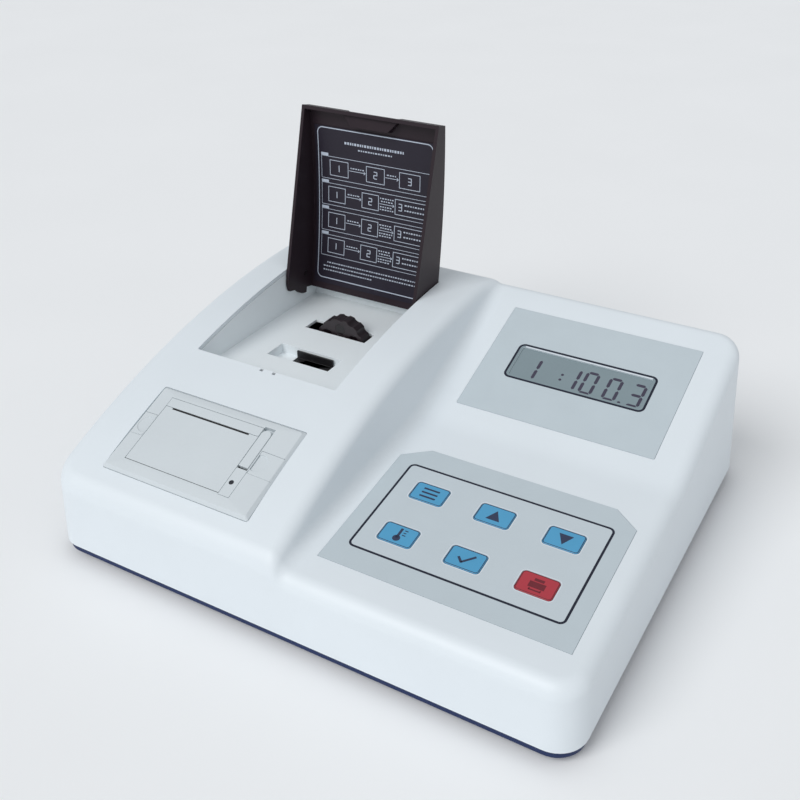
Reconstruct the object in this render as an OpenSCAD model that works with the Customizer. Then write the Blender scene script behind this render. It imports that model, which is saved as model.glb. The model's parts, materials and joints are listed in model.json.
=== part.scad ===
// Soil spectrophotometer: a bench colorimeter with a raised sample side, a flap lid over the cuvette well,
// a panel printer, a tilted display and a six-key pad. Millimetres, +Z up, origin on the bench under its middle.

/* [Housing] */
// Width of the housing at its bottom edge
housing_w = 350; // [346:1:360]
// Depth of the housing at its bottom edge
housing_d = 304; // [300:1:312]
// Wall of the moulded top cover
wall = 2.8; // [2.4:0.1:3.2]
// Plan radius of the upright corners
corner_r = 18; // [15:1:20]
// Radius of the rolled top edge
edge_r = 9; // [7:0.5:10]
// Draft of the front and side walls, in degrees
side_draft = 2.2; // [1.6:0.2:2.6]
// Lean of the rear wall, in degrees
rear_lean = 11.2; // [10:0.2:12]
// Height of the front wall above the cover's bottom edge
front_wall_h = 40.7; // [38:0.1:43]
// Tilt of the keypad face, in degrees
keypad_tilt = 7.7; // [6:0.1:9]
// Share of the depth in front of the crease between keypad face and display face
crease_share = 0.508; // [0.49:0.002:0.52]
// Tilt of the display face, in degrees
display_tilt = 19.3; // [18:0.1:20]
// Height of the rubber feet
foot_h = 5; // [4:0.5:7]
// Radius of the rubber feet
foot_r = 9; // [8:0.5:11]
// Visible height of the base pan under the cover
base_lip_h = 5; // [4:0.5:7]
// Thickness of the base pan's floor
base_t = 2.5; // [2:0.1:3]

/* [Raised sample side] */
// Width of the raised side, from the housing's left edge
hump_w = 172; // [170:0.5:174]
// Fall of the arc along its back, from the crest to the housing's front edge
hump_fall = 63.15; // [62:0.05:64]
// Distance from the rear edge to the arc's crest
hump_crest_back = 42; // [38:1:46]
// Height of the crest above the cover's bottom edge
hump_crest_h = 109.5; // [108:0.5:112]
// Blend radius at the top and foot of its side wall
hump_blend_r = 9; // [7:0.5:10]

/* [Sample well] */
// Width of the raised side's edges beside the well
well_side = 32; // [31:0.5:34]
// Distance from the front edge to the well
well_at = 114.3; // [112:0.1:116]
// Distance from the rear edge to the well
well_back = 52.7; // [51:0.1:54]
// Height of the well's floor above the cover's bottom edge
floor_h = 75.5; // [74:0.5:76]
// Wall of the sample tray
tray_t = 2; // [1.8:0.1:2.4]
// Width of the wheel slot
wheel_slot_w = 14; // [13.6:0.1:15]
// Width of the cuvette recess
recess_w = 17.5; // [17:0.1:18.5]
// Depth of the cuvette recess
recess_h = 7; // [6:0.5:8]

/* [Lid] */
// Running gap between lid and well
lid_gap = 0.6; // [0.5:0.1:0.9]
// Thickness of the lid's moulding
lid_t = 2.4; // [2:0.1:2.8]
// Depth of the lid's skirt at its front edge
lid_front_h = 9; // [8:0.5:10]
// Angle through which the lid opens, in degrees
lid_open = 102.5; // [98:0.5:104]
// Radius of the lid's hinge pins
hinge_pin_r = 1.75; // [1.5:0.05:2]
// Radial clearance of pins and axles in their bores
pin_fit = 0.05; // [0.03:0.01:0.08]

/* [Filter wheel and optics] */
// Height of the filter wheel's top above the floor
wheel_show = 11.7; // [10:0.1:12.5]
// Thickness of the filter wheel
wheel_t = 10; // [9:0.5:11]
// Radius of the filter wheel
wheel_r = 20; // [19:0.25:20.5]
// Number of filters in the wheel
filter_count = 6; // [4:1:6]
// Radius of the wheel's axle
axle_r = 2.5; // [2:0.1:3]
// Side of the square cuvette pocket
pocket_w = 12.8; // [12.6:0.1:13]
// Length of a cuvette
cuvette_h = 45; // [44:0.5:46]

/* [Printer] */
// Width of the raised side's edges beside the bezel
bezel_side = 33.3; // [32:0.1:34]
// Length of the bezel's flat face along the slope
bezel_len = 62.4; // [62:0.1:64]
// Tilt of the printer, in degrees
printer_tilt = 21; // [20:0.1:22]
// Length of the paper cover along the slope
door_len = 42.4; // [42:0.1:43]
// Radius of the paper roll
paper_r = 14.5; // [12:0.5:15]
// Radius of the platen's rubber
platen_r = 4.4; // [4:0.1:4.5]

/* [Display and keypad] */
// Width of the face beside the display film
display_side = 23.85; // [22:0.05:26]
// Length of the face in front of the display film
display_front = 18.7; // [17:0.1:20]
// Length of the face behind the display film
display_back = 25.1; // [23:0.1:27]
// Width of the display film beside its clear window
window_side = 20.85; // [19:0.05:23]
// Width of the face beside the keypad film
keypad_side = 14.4; // [13:0.1:16]
// Length of the face in front of the keypad film
keypad_front = 23.7; // [22:0.1:25]
// Length of the face behind the keypad film
keypad_back = 26.4; // [25:0.1:28]
// Thickness of both films
film_t = 0.8; // [0.7:0.05:1]
// Travel of a key
key_travel = 0.5; // [0.4:0.05:0.6]

/* [Hidden] */
$fn = 48;
e = 0.01;

left = -housing_w / 2;
right = housing_w / 2;
front = -housing_d / 2;
rear = housing_d / 2;
cover_z = foot_h + base_lip_h;
gap = 0.3;

// Top faces of the housing: the keypad and display faces, and the arc of the raised side
face_y0 = front + tan(side_draft) * front_wall_h;
face_z0 = cover_z + front_wall_h;
crease_y = front + housing_d * crease_share;
crease_z = face_z0 + tan(keypad_tilt) * (crease_y - face_y0);
crease_soft = 6;
crest_y = rear - hump_crest_back;
crest_z = cover_z + hump_crest_h;
hump_arc_r = (pow(crest_y - front, 2) + pow(hump_fall, 2)) / (2 * hump_fall);
fall_y = crest_y - 12;
fall_r = 170;
function soft_ramp(t, s) = t <= -s ? 0 : t >= s ? t : (t + s) * (t + s) / (4 * s);
function face_z(y) = face_z0 + tan(keypad_tilt) * (y - face_y0)
  + (tan(display_tilt) - tan(keypad_tilt)) * soft_ramp(y - crease_y, crease_soft);
function arc_z(y) = crest_z - hump_arc_r + sqrt(pow(hump_arc_r, 2) - pow(crest_y - y, 2))
  - (y > fall_y ? pow(y - fall_y, 2) / (2 * fall_r) : 0);
least_step = 0.8;
function step_h(y) = max(arc_z(y) - face_z(y), least_step);
function hump_z(y) = face_z(y) + step_h(y);

// Side wall of the raised side: two arcs of hump_blend_r with a straight stretch between them
steepest = 80;
arc_steps = 4;
function straight_h(y) = max(step_h(y) * 0.1, step_h(y) - 2 * hump_blend_r * (1 - cos(steepest)));
function blend_turn(y) = acos(1 - (step_h(y) - straight_h(y)) / (2 * hump_blend_r));
function blend_len(y) = 2 * hump_blend_r * sin(blend_turn(y)) + straight_h(y) / tan(blend_turn(y));
function blend_x(y) = left + hump_w - blend_len(y) / 2;

// Columns run from the left to the right boundary of the top at a given y, as points in x and z
left_cols = 5;
right_cols = 3;
col_count = left_cols + 2 * (arc_steps + 1) + right_cols;
function mix(a, b, t) = a + (b - a) * t;
function side_inset(z) = tan(side_draft) * (z - cover_z);
function column(j, y, shift) =
  let (
    x_first = left + side_inset(hump_z(y)) + corner_r,
    x_last = right - side_inset(face_z(y)) - corner_r,
    x_up = blend_x(y) - shift,
    x_down = x_up + blend_len(y),
    k = j - left_cols,
    m = k - arc_steps - 1,
    a_up = blend_turn(y) * k / arc_steps,
    a_down = blend_turn(y) * (1 - m / arc_steps)
  )
  k < 0 ? [mix(x_first, x_up, j / left_cols), hump_z(y)]
  : k <= arc_steps ? [x_up + hump_blend_r * sin(a_up), hump_z(y) - hump_blend_r * (1 - cos(a_up))]
  : m <= arc_steps ? [x_down - hump_blend_r * sin(a_down), face_z(y) + hump_blend_r * (1 - cos(a_down))]
  : [mix(x_down, x_last, (m - arc_steps) / right_cols), face_z(y)];

// Rows run from the front to the rear boundary of the top
row_count = 20;
front_top = front + side_inset(cover_z + front_wall_h);
rear_top = rear - tan(rear_lean) * hump_crest_h * 0.965;
function front_line(q) = mix(front, front_top, q);
function rear_line(q) = mix(rear, rear_top, q);
function row_y(i, q) = mix(front_line(q) + corner_r, rear_line(q) - corner_r, i / (row_count - 1));

// One closed ring round the housing: q is 0 at the bottom edge and 1 at the top, d the inset from the outline
corner_steps = 5;
ring_len = 2 * col_count + 2 * row_count + 4 * (corner_steps - 1);
function lifted(x, y, z, drop, q) = [x, y, q == 0 ? cover_z : z - drop];
function side_x(y, d, q, s) =
  s > 0 ? right - q * side_inset(face_z(y)) - d : left + q * side_inset(hump_z(y)) + d;
function corner_pt(q, d, drop, sx, sy, a) =
  let (
    yc = sy < 0 ? front_line(q) + corner_r : rear_line(q) - corner_r,
    xc = side_x(yc, corner_r, q, sx),
    x = xc + (corner_r - d) * cos(a),
    y = yc + (corner_r - d) * sin(a)
  )
  lifted(x, y, sx > 0 ? face_z(y) : hump_z(y), drop, q);
function ring(q, d, drop, shift) = [
  for (j = [0:col_count - 1]) let (y = front_line(q) + d, c = column(j, y, shift))
    lifted(j == 0 ? side_x(front_line(q) + corner_r, corner_r, q, -1)
      : j == col_count - 1 ? side_x(front_line(q) + corner_r, corner_r, q, 1) : c[0], y, c[1], drop, q),
  for (m = [1:corner_steps - 1]) corner_pt(q, d, drop, 1, -1, -90 + 90 * m / corner_steps),
  for (i = [0:row_count - 1]) let (y = row_y(i, q)) lifted(side_x(y, d, q, 1), y, face_z(y), drop, q),
  for (m = [1:corner_steps - 1]) corner_pt(q, d, drop, 1, 1, 90 * m / corner_steps),
  for (j = [col_count - 1:-1:0]) let (y = rear_line(q) - d, c = column(j, y, shift))
    lifted(j == 0 ? side_x(rear_line(q) - corner_r, corner_r, q, -1)
      : j == col_count - 1 ? side_x(rear_line(q) - corner_r, corner_r, q, 1) : c[0], y, c[1], drop, q),
  for (m = [1:corner_steps - 1]) corner_pt(q, d, drop, -1, 1, 90 + 90 * m / corner_steps),
  for (i = [row_count - 1:-1:0]) let (y = row_y(i, q)) lifted(side_x(y, d, q, -1), y, hump_z(y), drop, q),
  for (m = [1:corner_steps - 1]) corner_pt(q, d, drop, -1, -1, 180 + 90 * m / corner_steps)
];
// The grid of the top inside the rings, and the grid point that each ring point joins
function grid(drop, shift) = [
  for (i = [0:row_count - 1]) for (j = [0:col_count - 1])
    let (y = row_y(i, 1), c = column(j, y, shift)) [c[0], y, c[1] - drop]
];
function grid_at(i, j) = i * col_count + j;
inner_of = [
  for (j = [0:col_count - 1]) grid_at(0, j),
  for (m = [1:corner_steps - 1]) grid_at(0, col_count - 1),
  for (i = [0:row_count - 1]) grid_at(i, col_count - 1),
  for (m = [1:corner_steps - 1]) grid_at(row_count - 1, col_count - 1),
  for (j = [col_count - 1:-1:0]) grid_at(row_count - 1, j),
  for (m = [1:corner_steps - 1]) grid_at(row_count - 1, 0),
  for (i = [row_count - 1:-1:0]) grid_at(i, 0),
  for (m = [1:corner_steps - 1]) grid_at(0, 0)
];
function quad(a, b, c, d) = [[a, b, c], [a, c, d]];
function flipped(faces) = [for (f = faces) [f[2], f[1], f[0]]];
// Faces between two rings whose points start at a and b, seen from outside
function band(a, b) = [
  for (k = [0:ring_len - 1]) let (n = (k + 1) % ring_len) each quad(a + n, a + k, b + k, b + n)
];
// Faces from the last ring to the grid, and of the grid itself
function lid_faces(a, g) = [
  for (k = [0:ring_len - 1])
    let (n = (k + 1) % ring_len, p = g + inner_of[k], s = g + inner_of[n])
      each (p == s ? [[a + n, a + k, p]] : a + k == a + n ? [] : quad(a + n, a + k, p, s)),
  for (i = [0:row_count - 2]) for (j = [0:col_count - 2])
    each quad(g + grid_at(i, j + 1), g + grid_at(i, j), g + grid_at(i + 1, j), g + grid_at(i + 1, j + 1))
];
edge_steps = 5;
inner_edge_r = edge_r - wall;
function edge_d(r, t) = r * (1 - cos(t));
function edge_drop(r, t) = r * (1 - sin(t));
module shell() {
  outer = [
    ring(0, 0, 0, 0),
    for (t = [0:edge_steps]) ring(1, edge_d(edge_r, 90 * t / edge_steps), edge_drop(edge_r, 90 * t / edge_steps), 0)
  ];
  inner = [
    ring(0, wall, 0, wall),
    for (t = [0:2])
      ring(1, wall + edge_d(inner_edge_r, 45 * t), wall + edge_drop(inner_edge_r, 45 * t), wall)
  ];
  outer_n = len(outer);
  inner_n = len(inner);
  inner_a = outer_n * ring_len;
  grid_a = inner_a + inner_n * ring_len;
  grid_b = grid_a + row_count * col_count;
  polyhedron(
    points = [
      for (r = outer) each r,
      for (r = inner) each r,
      each grid(0, 0),
      each grid(wall, wall)
    ],
    faces = [
      for (t = [0:outer_n - 2]) each band(t * ring_len, (t + 1) * ring_len),
      each lid_faces((outer_n - 1) * ring_len, grid_a),
      for (t = [0:inner_n - 2]) each flipped(band(inner_a + t * ring_len, inner_a + (t + 1) * ring_len)),
      each flipped(lid_faces(inner_a + (inner_n - 1) * ring_len, grid_b)),
      each band(inner_a, 0)
    ]
  );
}

// Plain helpers
module slab(w, d, r) {
  square([w - 2 * r, d], center = true);
  square([w, d - 2 * r], center = true);
  for (x = [-1, 1]) for (y = [-1, 1]) translate([x * (w / 2 - r), y * (d / 2 - r)]) circle(r);
}
module slab_at(x, y, w, d, r) translate([x + w / 2, y + d / 2]) slab(w, d, r);
module plate(w, d, r, t) linear_extrude(t) slab(w, d, r);
module block(x0, x1, y0, y1, z0, z1) translate([x0, y0, z0]) cube([x1 - x0, y1 - y0, z1 - z0]);
module rod_x(x0, x1, y, z, r) translate([x0, y, z]) rotate([0, 90, 0]) cylinder(r = r, h = x1 - x0);
module back_arc(x0, x1, r) translate([x0, crest_y, crest_z - hump_arc_r]) rotate([0, 90, 0])
  cylinder(r = r, h = x1 - x0, $fn = 720);
module rod_y(x, y0, y1, z, r) translate([x, y1, z]) rotate([90, 0, 0]) cylinder(r = r, h = y1 - y0);

// Working planes: local y runs up the slope and local z stands out of it
panel_x = (left + hump_w + right) / 2 - 1.4;
lower_w = housing_w - hump_w;
keypad_w = lower_w - 2 * keypad_side;
keypad_len = (crease_y - face_y0) / cos(keypad_tilt) - keypad_front - keypad_back;
display_w = lower_w - 2 * display_side;
display_len = (rear_top - crease_y) / cos(display_tilt) - display_front - display_back;
window_w = display_w - 2 * window_side;
window_len = display_len * 0.27;
module keypad_plane() translate([panel_x, face_y0, face_z0]) rotate([keypad_tilt, 0, 0]) children();
module display_plane() translate([panel_x, crease_y, crease_z]) rotate([display_tilt, 0, 0]) children();
film_recess = film_t - 0.2;
keypad_mid = keypad_front + keypad_len / 2;
display_mid = display_front + display_len / 2;
window_mid = display_mid + 0.3;
window_r = 1.5;

// Places of the well and of what works in it
well_x = left + hump_w / 2 + 0.3;
well_w = hump_w - 2 * well_side;
well_y0 = front + well_at;
well_y1 = rear - well_back;
well_len = well_y1 - well_y0;
floor_z = cover_z + floor_h;
optic_x = well_x + 1;
slot_len = 49.4;
slot_x1 = well_x + 22.1;
slot_x0 = slot_x1 - slot_len;
filter_r = wheel_r * 0.2;
filter_pitch_r = wheel_r * 0.625;
wheel_y = well_y0 + well_len * 0.6679;
wheel_z = floor_z + wheel_show - wheel_r;
beam_z = wheel_z - filter_pitch_r;
recess_y0 = well_y0 + well_len * 0.2825;
recess_y1 = recess_y0 + recess_w;
holder_y = recess_y0 + recess_w / 2;
pivot_y = well_y1 - 15.7;
pivot_z = floor_z + 22.5;
lid_y1 = pivot_y + 11;
opening_y1 = well_y1 - 2.3;
lid_w = well_w - 2 * lid_gap;

// Screws that hold cover, pan and feet together
screw_r = 1.5;
boss_r = 4.2;
screw_at = [for (x = [left + 26, right - 26]) for (y = [front + 26, rear - 30]) [x, y]];
boss_z = cover_z + 4;
pan_inset = 1.5;

// Six keys on two rows
key_pitch_x = keypad_w * 0.2808;
key_pitch_y = keypad_len * 0.3503;
key_w = keypad_w * 0.1428;
key_len = keypad_len * 0.1382;
key_row = keypad_front + keypad_len * 0.3157;
key_proud = 0.25;
function key_at(n) = [(n % 3 - 1) * key_pitch_x, key_row + (n < 3 ? key_pitch_y : 0)];
key_gap = 0.3;
board_drop = 6;
dome_h = 0.7;
frame_r = 2.2;

// Printer plane and the places on it, measured from the bezel's middle
printer_x = left + hump_w / 2 + 2.5;
bezel_w = hump_w - 2 * bezel_side;
door_w = bezel_w - 34.5;
paper_w = door_w - 13.9;
printer_s0 = 24.8;
printer_y = front + 24.7;
printer_z = arc_z(printer_y) + 2.943;
module printer_plane() translate([printer_x, printer_y, printer_z])
  rotate([printer_tilt, 0, 0]) children();
bezel_h = 13;
bezel_skin = 3.4;
bevel = 1.8;
bevel_h = 2.6;
bezel_r = 1.5;
door_x0 = -door_w / 2 - 6.7;
door_x1 = door_x0 + door_w;
door_s0 = 1.2;
door_s1 = door_s0 + door_len;
door_gap = 0.3;
door_t = 2;
hinge_s = door_s0 + 2;
hinge_h = -4;
door_pin_r = 1;
paper_x = (door_x0 + door_x1) / 2 - 0.6;
platen_s = 38.5;
platen_h = -9;
gear_m = 0.5;
gear_teeth = 18;
pinion_teeth = 12;
gear_x0 = paper_x + paper_w / 2 + 1.2;
gear_t = 2.8;
pinion_h = platen_h - gear_m * (gear_teeth + pinion_teeth) / 2;
lever_x0 = door_x1 + 0.6;
lever_w = 6.8;
lever_s0 = 21.6;
lever_s1 = 46;
lever_front = 20;
lever_axis = 24.4;
lever_pin_r = 1;
bucket_h = 47;
bucket_t = 1.6;
roll_s = 21.5;
roll_h = -bucket_h + paper_r + gap;
chassis_x1 = door_x1 + 2;

// Rear bay for the sockets
bay_w = housing_w * 0.457;
bay_z0 = cover_z + 12;
bay_z1 = bay_z0 + 42;
bay_y = rear - 24;
bay_t = 2;
function rear_wall_y(z) = rear - tan(rear_lean) * (z - cover_z);

module top_cover() color("#e6ecef") difference() {
  union() {
    shell();
    for (p = screw_at) for (r = [boss_r, boss_r * 0.6]) translate([p[0], p[1], boss_z])
      cylinder(r = r, h = (p[0] < 0 ? hump_z(p[1] - r) : face_z(p[1] - r)) - wall / 2 - boss_z);
    keypad_plane() for (x = [-1, 1]) for (s = [-1, 1])
      translate([x * (key_pitch_x + key_w / 2 + 5), key_row + key_pitch_y / 2
        + s * (key_pitch_y + key_len) / 2 + s * 4.5, -board_drop]) cylinder(r = 2.5, h = board_drop - wall / 2);
  }
  for (p = screw_at) translate([p[0], p[1], boss_z - e]) cylinder(r = screw_r, h = 14);
  block(well_x - well_w / 2, well_x + well_w / 2, well_y0, opening_y1, floor_z + 2, crest_z + 5);
  printer_plane() translate([0, printer_s0, -20])
    plate(bezel_w + 2 * bevel + 0.5, bezel_len + 2 * bevel + 0.5, bezel_r + 0.25, 40);
  display_plane() {
    translate([0, display_mid, -film_recess]) plate(display_w + 0.4, display_len + 0.4, 1, 3);
    translate([0, window_mid, -wall - 3]) plate(window_w + 4.6, window_len + 4.6, window_r, 6);
  }
  keypad_plane() {
    translate([0, keypad_mid, -film_recess]) linear_extrude(3) keypad_outline(0.2);
    for (n = [0:5]) translate([key_at(n)[0], key_at(n)[1], -wall - 3])
      plate(key_w + 2 * key_gap, key_len + 2 * key_gap, frame_r + key_gap, 6);
  }
  block(-bay_w / 2 - 0.25, bay_w / 2 + 0.25, bay_y - 1, rear + 2, bay_z0 - 0.25, bay_z1 + 0.25);
  for (x = catch_at)
    block(x - 1.1, x + 1.1, well_y0 - tray_t - gap, well_y0 + 1, catch_z - 8, crest_z);
}
catch_at = [well_x - 0.8, well_x + 8.7];
catch_z = arc_z(well_y0) - wall - 3.9;

module keypad_outline(grow) {
  w = keypad_w / 2 + grow;
  h = keypad_len / 2 + grow;
  polygon([[-w, -h], [w, -h], [w, h - 11.3], [w - 15.5, h], [-w + 16, h], [-w, h - 11.3]]);
}

module base_pan() color("#27406e") {
  pan_shell();
  board_posts();
}
module pan_shell() difference() {
  w = housing_w - 2 * pan_inset;
  d = housing_d - 2 * pan_inset;
  lip = wall + gap + 0.3;
  lean_gap = 1.6;
  union() {
    translate([0, 0, foot_h]) plate(w, d, corner_r - pan_inset, base_lip_h);
    translate([0, -lean_gap / 2, cover_z - e])
      plate(housing_w - 2 * lip, housing_d - 2 * lip - lean_gap, corner_r - lip, 6);
  }
  translate([0, -lean_gap / 2, foot_h + base_t])
    plate(housing_w - 2 * lip - 4, housing_d - 2 * lip - 4 - lean_gap, corner_r - lip - 2, 40);
  for (p = screw_at) translate([p[0], p[1], 0]) cylinder(r = screw_r + 0.2, h = 20);
  for (x = [-40:10:40]) translate([x, 40, 0]) plate(4, 60, 1.9, 20);
}

// Posts that carry the two boards
board_z = 24;
board_x0 = left + hump_w + 18;
board_x1 = right - 30;
power_x1 = right - 55;
power_y1 = bay_y - 28;
power_y0 = power_y1 - 50;
board_y1 = power_y0 - 20;
board_y0 = front + housing_d * 0.3026;
power_z = 22;
module board_posts() {
  for (x = [board_x0 + 5, board_x1 - 5]) for (y = [board_y0 + 5, board_y1 - 5])
    translate([x, y, foot_h + base_t - e]) cylinder(r = 3, h = board_z - foot_h - base_t);
  for (x = [board_x0 + 10, power_x1 - 5]) for (y = [power_y0 + 5, power_y1 - 5])
    translate([x, y, foot_h + base_t - e]) cylinder(r = 3, h = power_z - foot_h - base_t);
}

module rubber_feet() color("#202226") for (p = screw_at) translate([p[0], p[1], 0]) difference() {
  cylinder(r1 = foot_r, r2 = foot_r + 1, h = foot_h);
  translate([0, 0, -e]) cylinder(r = 3.4, h = foot_h / 2 + e);
  translate([0, 0, -e]) cylinder(r = screw_r + 0.2, h = foot_h + 1);
}

module case_screws() color("#b8bcc0") for (p = screw_at) translate([p[0], p[1], foot_h / 2]) {
  translate([0, 0, -1.8]) cylinder(r = 2.9, h = 1.8);
  cylinder(r = screw_r - 0.05, h = boss_z - foot_h / 2 + 8);
}

module rear_panel() color("#dfe5e8") difference() {
  translate([-bay_w / 2, 0, 0]) rotate([90, 0, 90]) linear_extrude(bay_w) polygon([
    [bay_y, bay_z0], [rear_wall_y(bay_z0), bay_z0], [rear_wall_y(bay_z1), bay_z1], [bay_y, bay_z1]
  ]);
  block(-bay_w / 2 + bay_t, bay_w / 2 - bay_t, bay_y + bay_t, rear + 5, bay_z0 + bay_t, bay_z1 - bay_t);
  translate([inlet_x, bay_y - 1, bay_mid_z]) rotate([-90, 0, 0]) plate(27.6, 20.2, 1, 10);
  translate([switch_x, bay_y - 1, bay_mid_z]) rotate([-90, 0, 0]) plate(19.4, 13.2, 0.6, 10);
  rod_y(probe_x, bay_y - 1, bay_y + 5, bay_mid_z, 6.5);
  rod_y(sensor_x, bay_y - 1, bay_y + 5, bay_mid_z, 6);
}
bay_mid_z = (bay_z0 + bay_z1) / 2;
inlet_x = -bay_w * 0.325;
switch_x = -bay_w * 0.0875;
probe_x = bay_w * 0.15;
sensor_x = bay_w * 0.3375;
panel_face = bay_y + bay_t;

module power_inlet() color("#1c1d20") {
  difference() {
    union() {
      translate([inlet_x, panel_face, bay_mid_z]) rotate([-90, 0, 0]) plate(31, 24, 3, 2.2);
      translate([inlet_x, panel_face - 18, bay_mid_z]) rotate([-90, 0, 0]) plate(27, 19.6, 1, 18 + e);
    }
    translate([inlet_x, panel_face - 15, bay_mid_z]) rotate([-90, 0, 0]) plate(23.4, 15.6, 2, 20);
  }
  for (k = [[-7, -2], [0, 2], [7, -2]])
    block(inlet_x + k[0] - 1, inlet_x + k[0] + 1, panel_face - 15 - e, panel_face - 4,
      bay_mid_z + k[1] - 2, bay_mid_z + k[1] + 2);
}

module switch_frame() color("#1a1b1e") translate([switch_x, panel_face, bay_mid_z]) rotate([-90, 0, 0])
  difference() {
    union() {
      plate(21.2, 15.2, 1, 1.6);
      translate([0, 0, -14]) plate(19, 12.8, 0.5, 14 + e);
    }
    translate([0, 0, -8]) plate(16.6, 10.6, 0.4, 12);
    for (x = [-1, 1]) translate([x * 8.2, 0, -3]) rotate([0, 90, 0]) cylinder(r = 1.05, h = 1.4, center = true);
  }

rocker_tilt = 8;
module switch_rocker() color("#2a2b2f") translate([switch_x, panel_face - 3, bay_mid_z])
  rotate([rocker_tilt, 0, 0]) difference() {
    union() {
      translate([-7.9, 0, 0]) rotate([90, 0, 90]) linear_extrude(15.8)
        polygon([[-3, -3.4], [1.5, -4.8], [5.6, -4.6], [4.6, 0], [5.6, 4.6], [1.5, 4.8], [-3, 3.4]]);
      rod_x(-8.8, 8.8, 0, 0, 1);
    }
    block(-9, 9, -6, -3.2, -6, 6);
  }

module probe_socket() color("#c9ccd0") difference() {
  union() {
    rod_y(probe_x, panel_face, panel_face + 1.6, bay_mid_z, 8);
    rod_y(probe_x, bay_y - 12, panel_face + 12, bay_mid_z, 4.8);
    rod_y(probe_x, bay_y - 4, panel_face, bay_mid_z, 6.3);
    rod_x(probe_x - 5.9, probe_x + 5.9, panel_face + 8, bay_mid_z, 1);
  }
  rod_y(probe_x, panel_face + 3, panel_face + 13, bay_mid_z, 4);
}

module sensor_socket() color("#2b2d31") difference() {
  union() {
    rod_y(sensor_x, panel_face, panel_face + 2.5, bay_mid_z, 8);
    rod_y(sensor_x, bay_y - 10, panel_face + 7, bay_mid_z, 5.8);
  }
  rod_y(sensor_x, panel_face + 1, panel_face + 8, bay_mid_z, 4.6);
}

module sample_tray() color("#dde3e4") difference() {
  x0 = well_x - well_w / 2;
  x1 = well_x + well_w / 2;
  intersection() {
    difference() {
      block(x0 - tray_t, x1 + tray_t, well_y0 - tray_t, well_y1 + tray_t, floor_z - tray_t, crest_z);
      block(x0, x1, well_y0, well_y1, floor_z, crest_z + 1);
    }
    back_arc(x0 - 10, x1 + 10, hump_arc_r - wall - gap);
  }
  block(slot_x0, slot_x1, recess_y0, recess_y1, floor_z - recess_h, floor_z + 1);
  block(slot_x0, slot_x1, wheel_y - wheel_slot_w / 2, wheel_y + wheel_slot_w / 2, floor_z - 10, floor_z + 1);
  for (s = [-1, 1]) rod_x(well_x + s * (well_w / 2 + 1) - 4, well_x + s * (well_w / 2 + 1) + 4,
    pivot_y, pivot_z, hinge_pin_r + 0.02);
  for (x = catch_at) block(x - 1.1, x + 1.1, well_y0 - tray_t - 1, well_y0 + 1, catch_z - 4, crest_z);
}
module recess_pan() color("#dde3e4") difference() {
  block(slot_x0 - tray_t, slot_x1 + tray_t, recess_y0 - tray_t, recess_y1 + tray_t,
    floor_z - recess_h - tray_t, floor_z - tray_t);
  block(slot_x0, slot_x1, recess_y0, recess_y1, floor_z - recess_h, floor_z + 1);
  block(optic_x - holder_w / 2 - gap, optic_x + holder_w / 2 + gap, holder_y0 - gap, holder_y1 + gap,
    floor_z - 20, floor_z - 1);
}
holder_w = 29.4;
holder_y0 = recess_y0 + 0.4;
holder_y1 = recess_y1 - 0.5;

module cuvette_holder() color("#1d1d20") difference() {
  union() {
    block(optic_x - holder_w / 2, optic_x + holder_w / 2, holder_y0, holder_y1, bench_z1,
      floor_z - recess_h + 0.2);
    block(optic_x - holder_w / 2, optic_x + holder_w / 2, holder_y1 - 1.4, holder_y1, bench_z1,
      floor_z - 1.5);
  }
  block(optic_x - pocket_w / 2, optic_x + pocket_w / 2, holder_y - pocket_w / 2, holder_y + pocket_w / 2,
    floor_z - 1 - cuvette_h, floor_z);
  rod_y(optic_x, holder_y0 - 1, holder_y1 + 1, beam_z, 3);
}

bench_z1 = floor_z - 1 - cuvette_h - 3;
bench_z0 = bench_z1 - 4;
bench_y0 = holder_y0 - 20;
post_y0 = wheel_y + wheel_t / 2 + 1;
post_t = 7;
bench_y1 = post_y0 + post_t + 26;
bench_w = 2 * wheel_r + 4;
module optics_bench() color("#2c2e33") difference() {
  union() {
    block(optic_x - bench_w / 2, optic_x + bench_w / 2, bench_y0, bench_y1, bench_z0, bench_z1);
    block(optic_x - 13, optic_x + 13, post_y0, post_y0 + post_t, bench_z1 - e, wheel_z + 4.5);
    block(optic_x - 13, optic_x + 13, holder_y0 - 9, holder_y0 - 7, bench_z1 - e, beam_z + 10);
    for (x = [-1, 1]) for (y = [bench_y0 + 6, bench_y1 - 6])
      translate([optic_x + x * (bench_w / 2 - 6), y, foot_h + base_t])
        cylinder(r = 4, h = bench_z0 - foot_h - base_t + e);
    block(optic_x - 10, optic_x + 10, post_y0 + post_t + 5, post_y0 + post_t + 20, bench_z1 - e,
      beam_z - lamp_r - gap);
  }
  rod_y(optic_x, post_y0 - 1, post_y0 + post_t + 1, wheel_z, axle_r);
  rod_y(optic_x, post_y0 - 1, post_y0 + post_t + 1, beam_z, lens_r + 0.1);
  rod_y(optic_x, holder_y0 - 10, holder_y0 - 6, beam_z, 4.2);
}
lamp_r = 8;
lens_r = 5;

module lamp_housing() color("#8d9196") difference() {
  rod_y(optic_x, post_y0 + post_t, post_y0 + post_t + 24, beam_z, lamp_r);
  rod_y(optic_x, post_y0 + post_t - 1, post_y0 + post_t + 22, beam_z, lamp_r - 1.5);
  rod_y(optic_x, post_y0 + post_t + 20, post_y0 + post_t + 26, beam_z, 1.5);
}

module source_lamp() color("#f3efdd") {
  rod_y(optic_x, post_y0 + post_t + 8, post_y0 + post_t + 16, beam_z, 2.4);
  rod_y(optic_x, post_y0 + post_t + 16 - e, post_y0 + post_t + 21.9, beam_z, 3.2);
  rod_y(optic_x, post_y0 + post_t + 21.8, post_y0 + post_t + 26, beam_z, 1.2);
}

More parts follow.
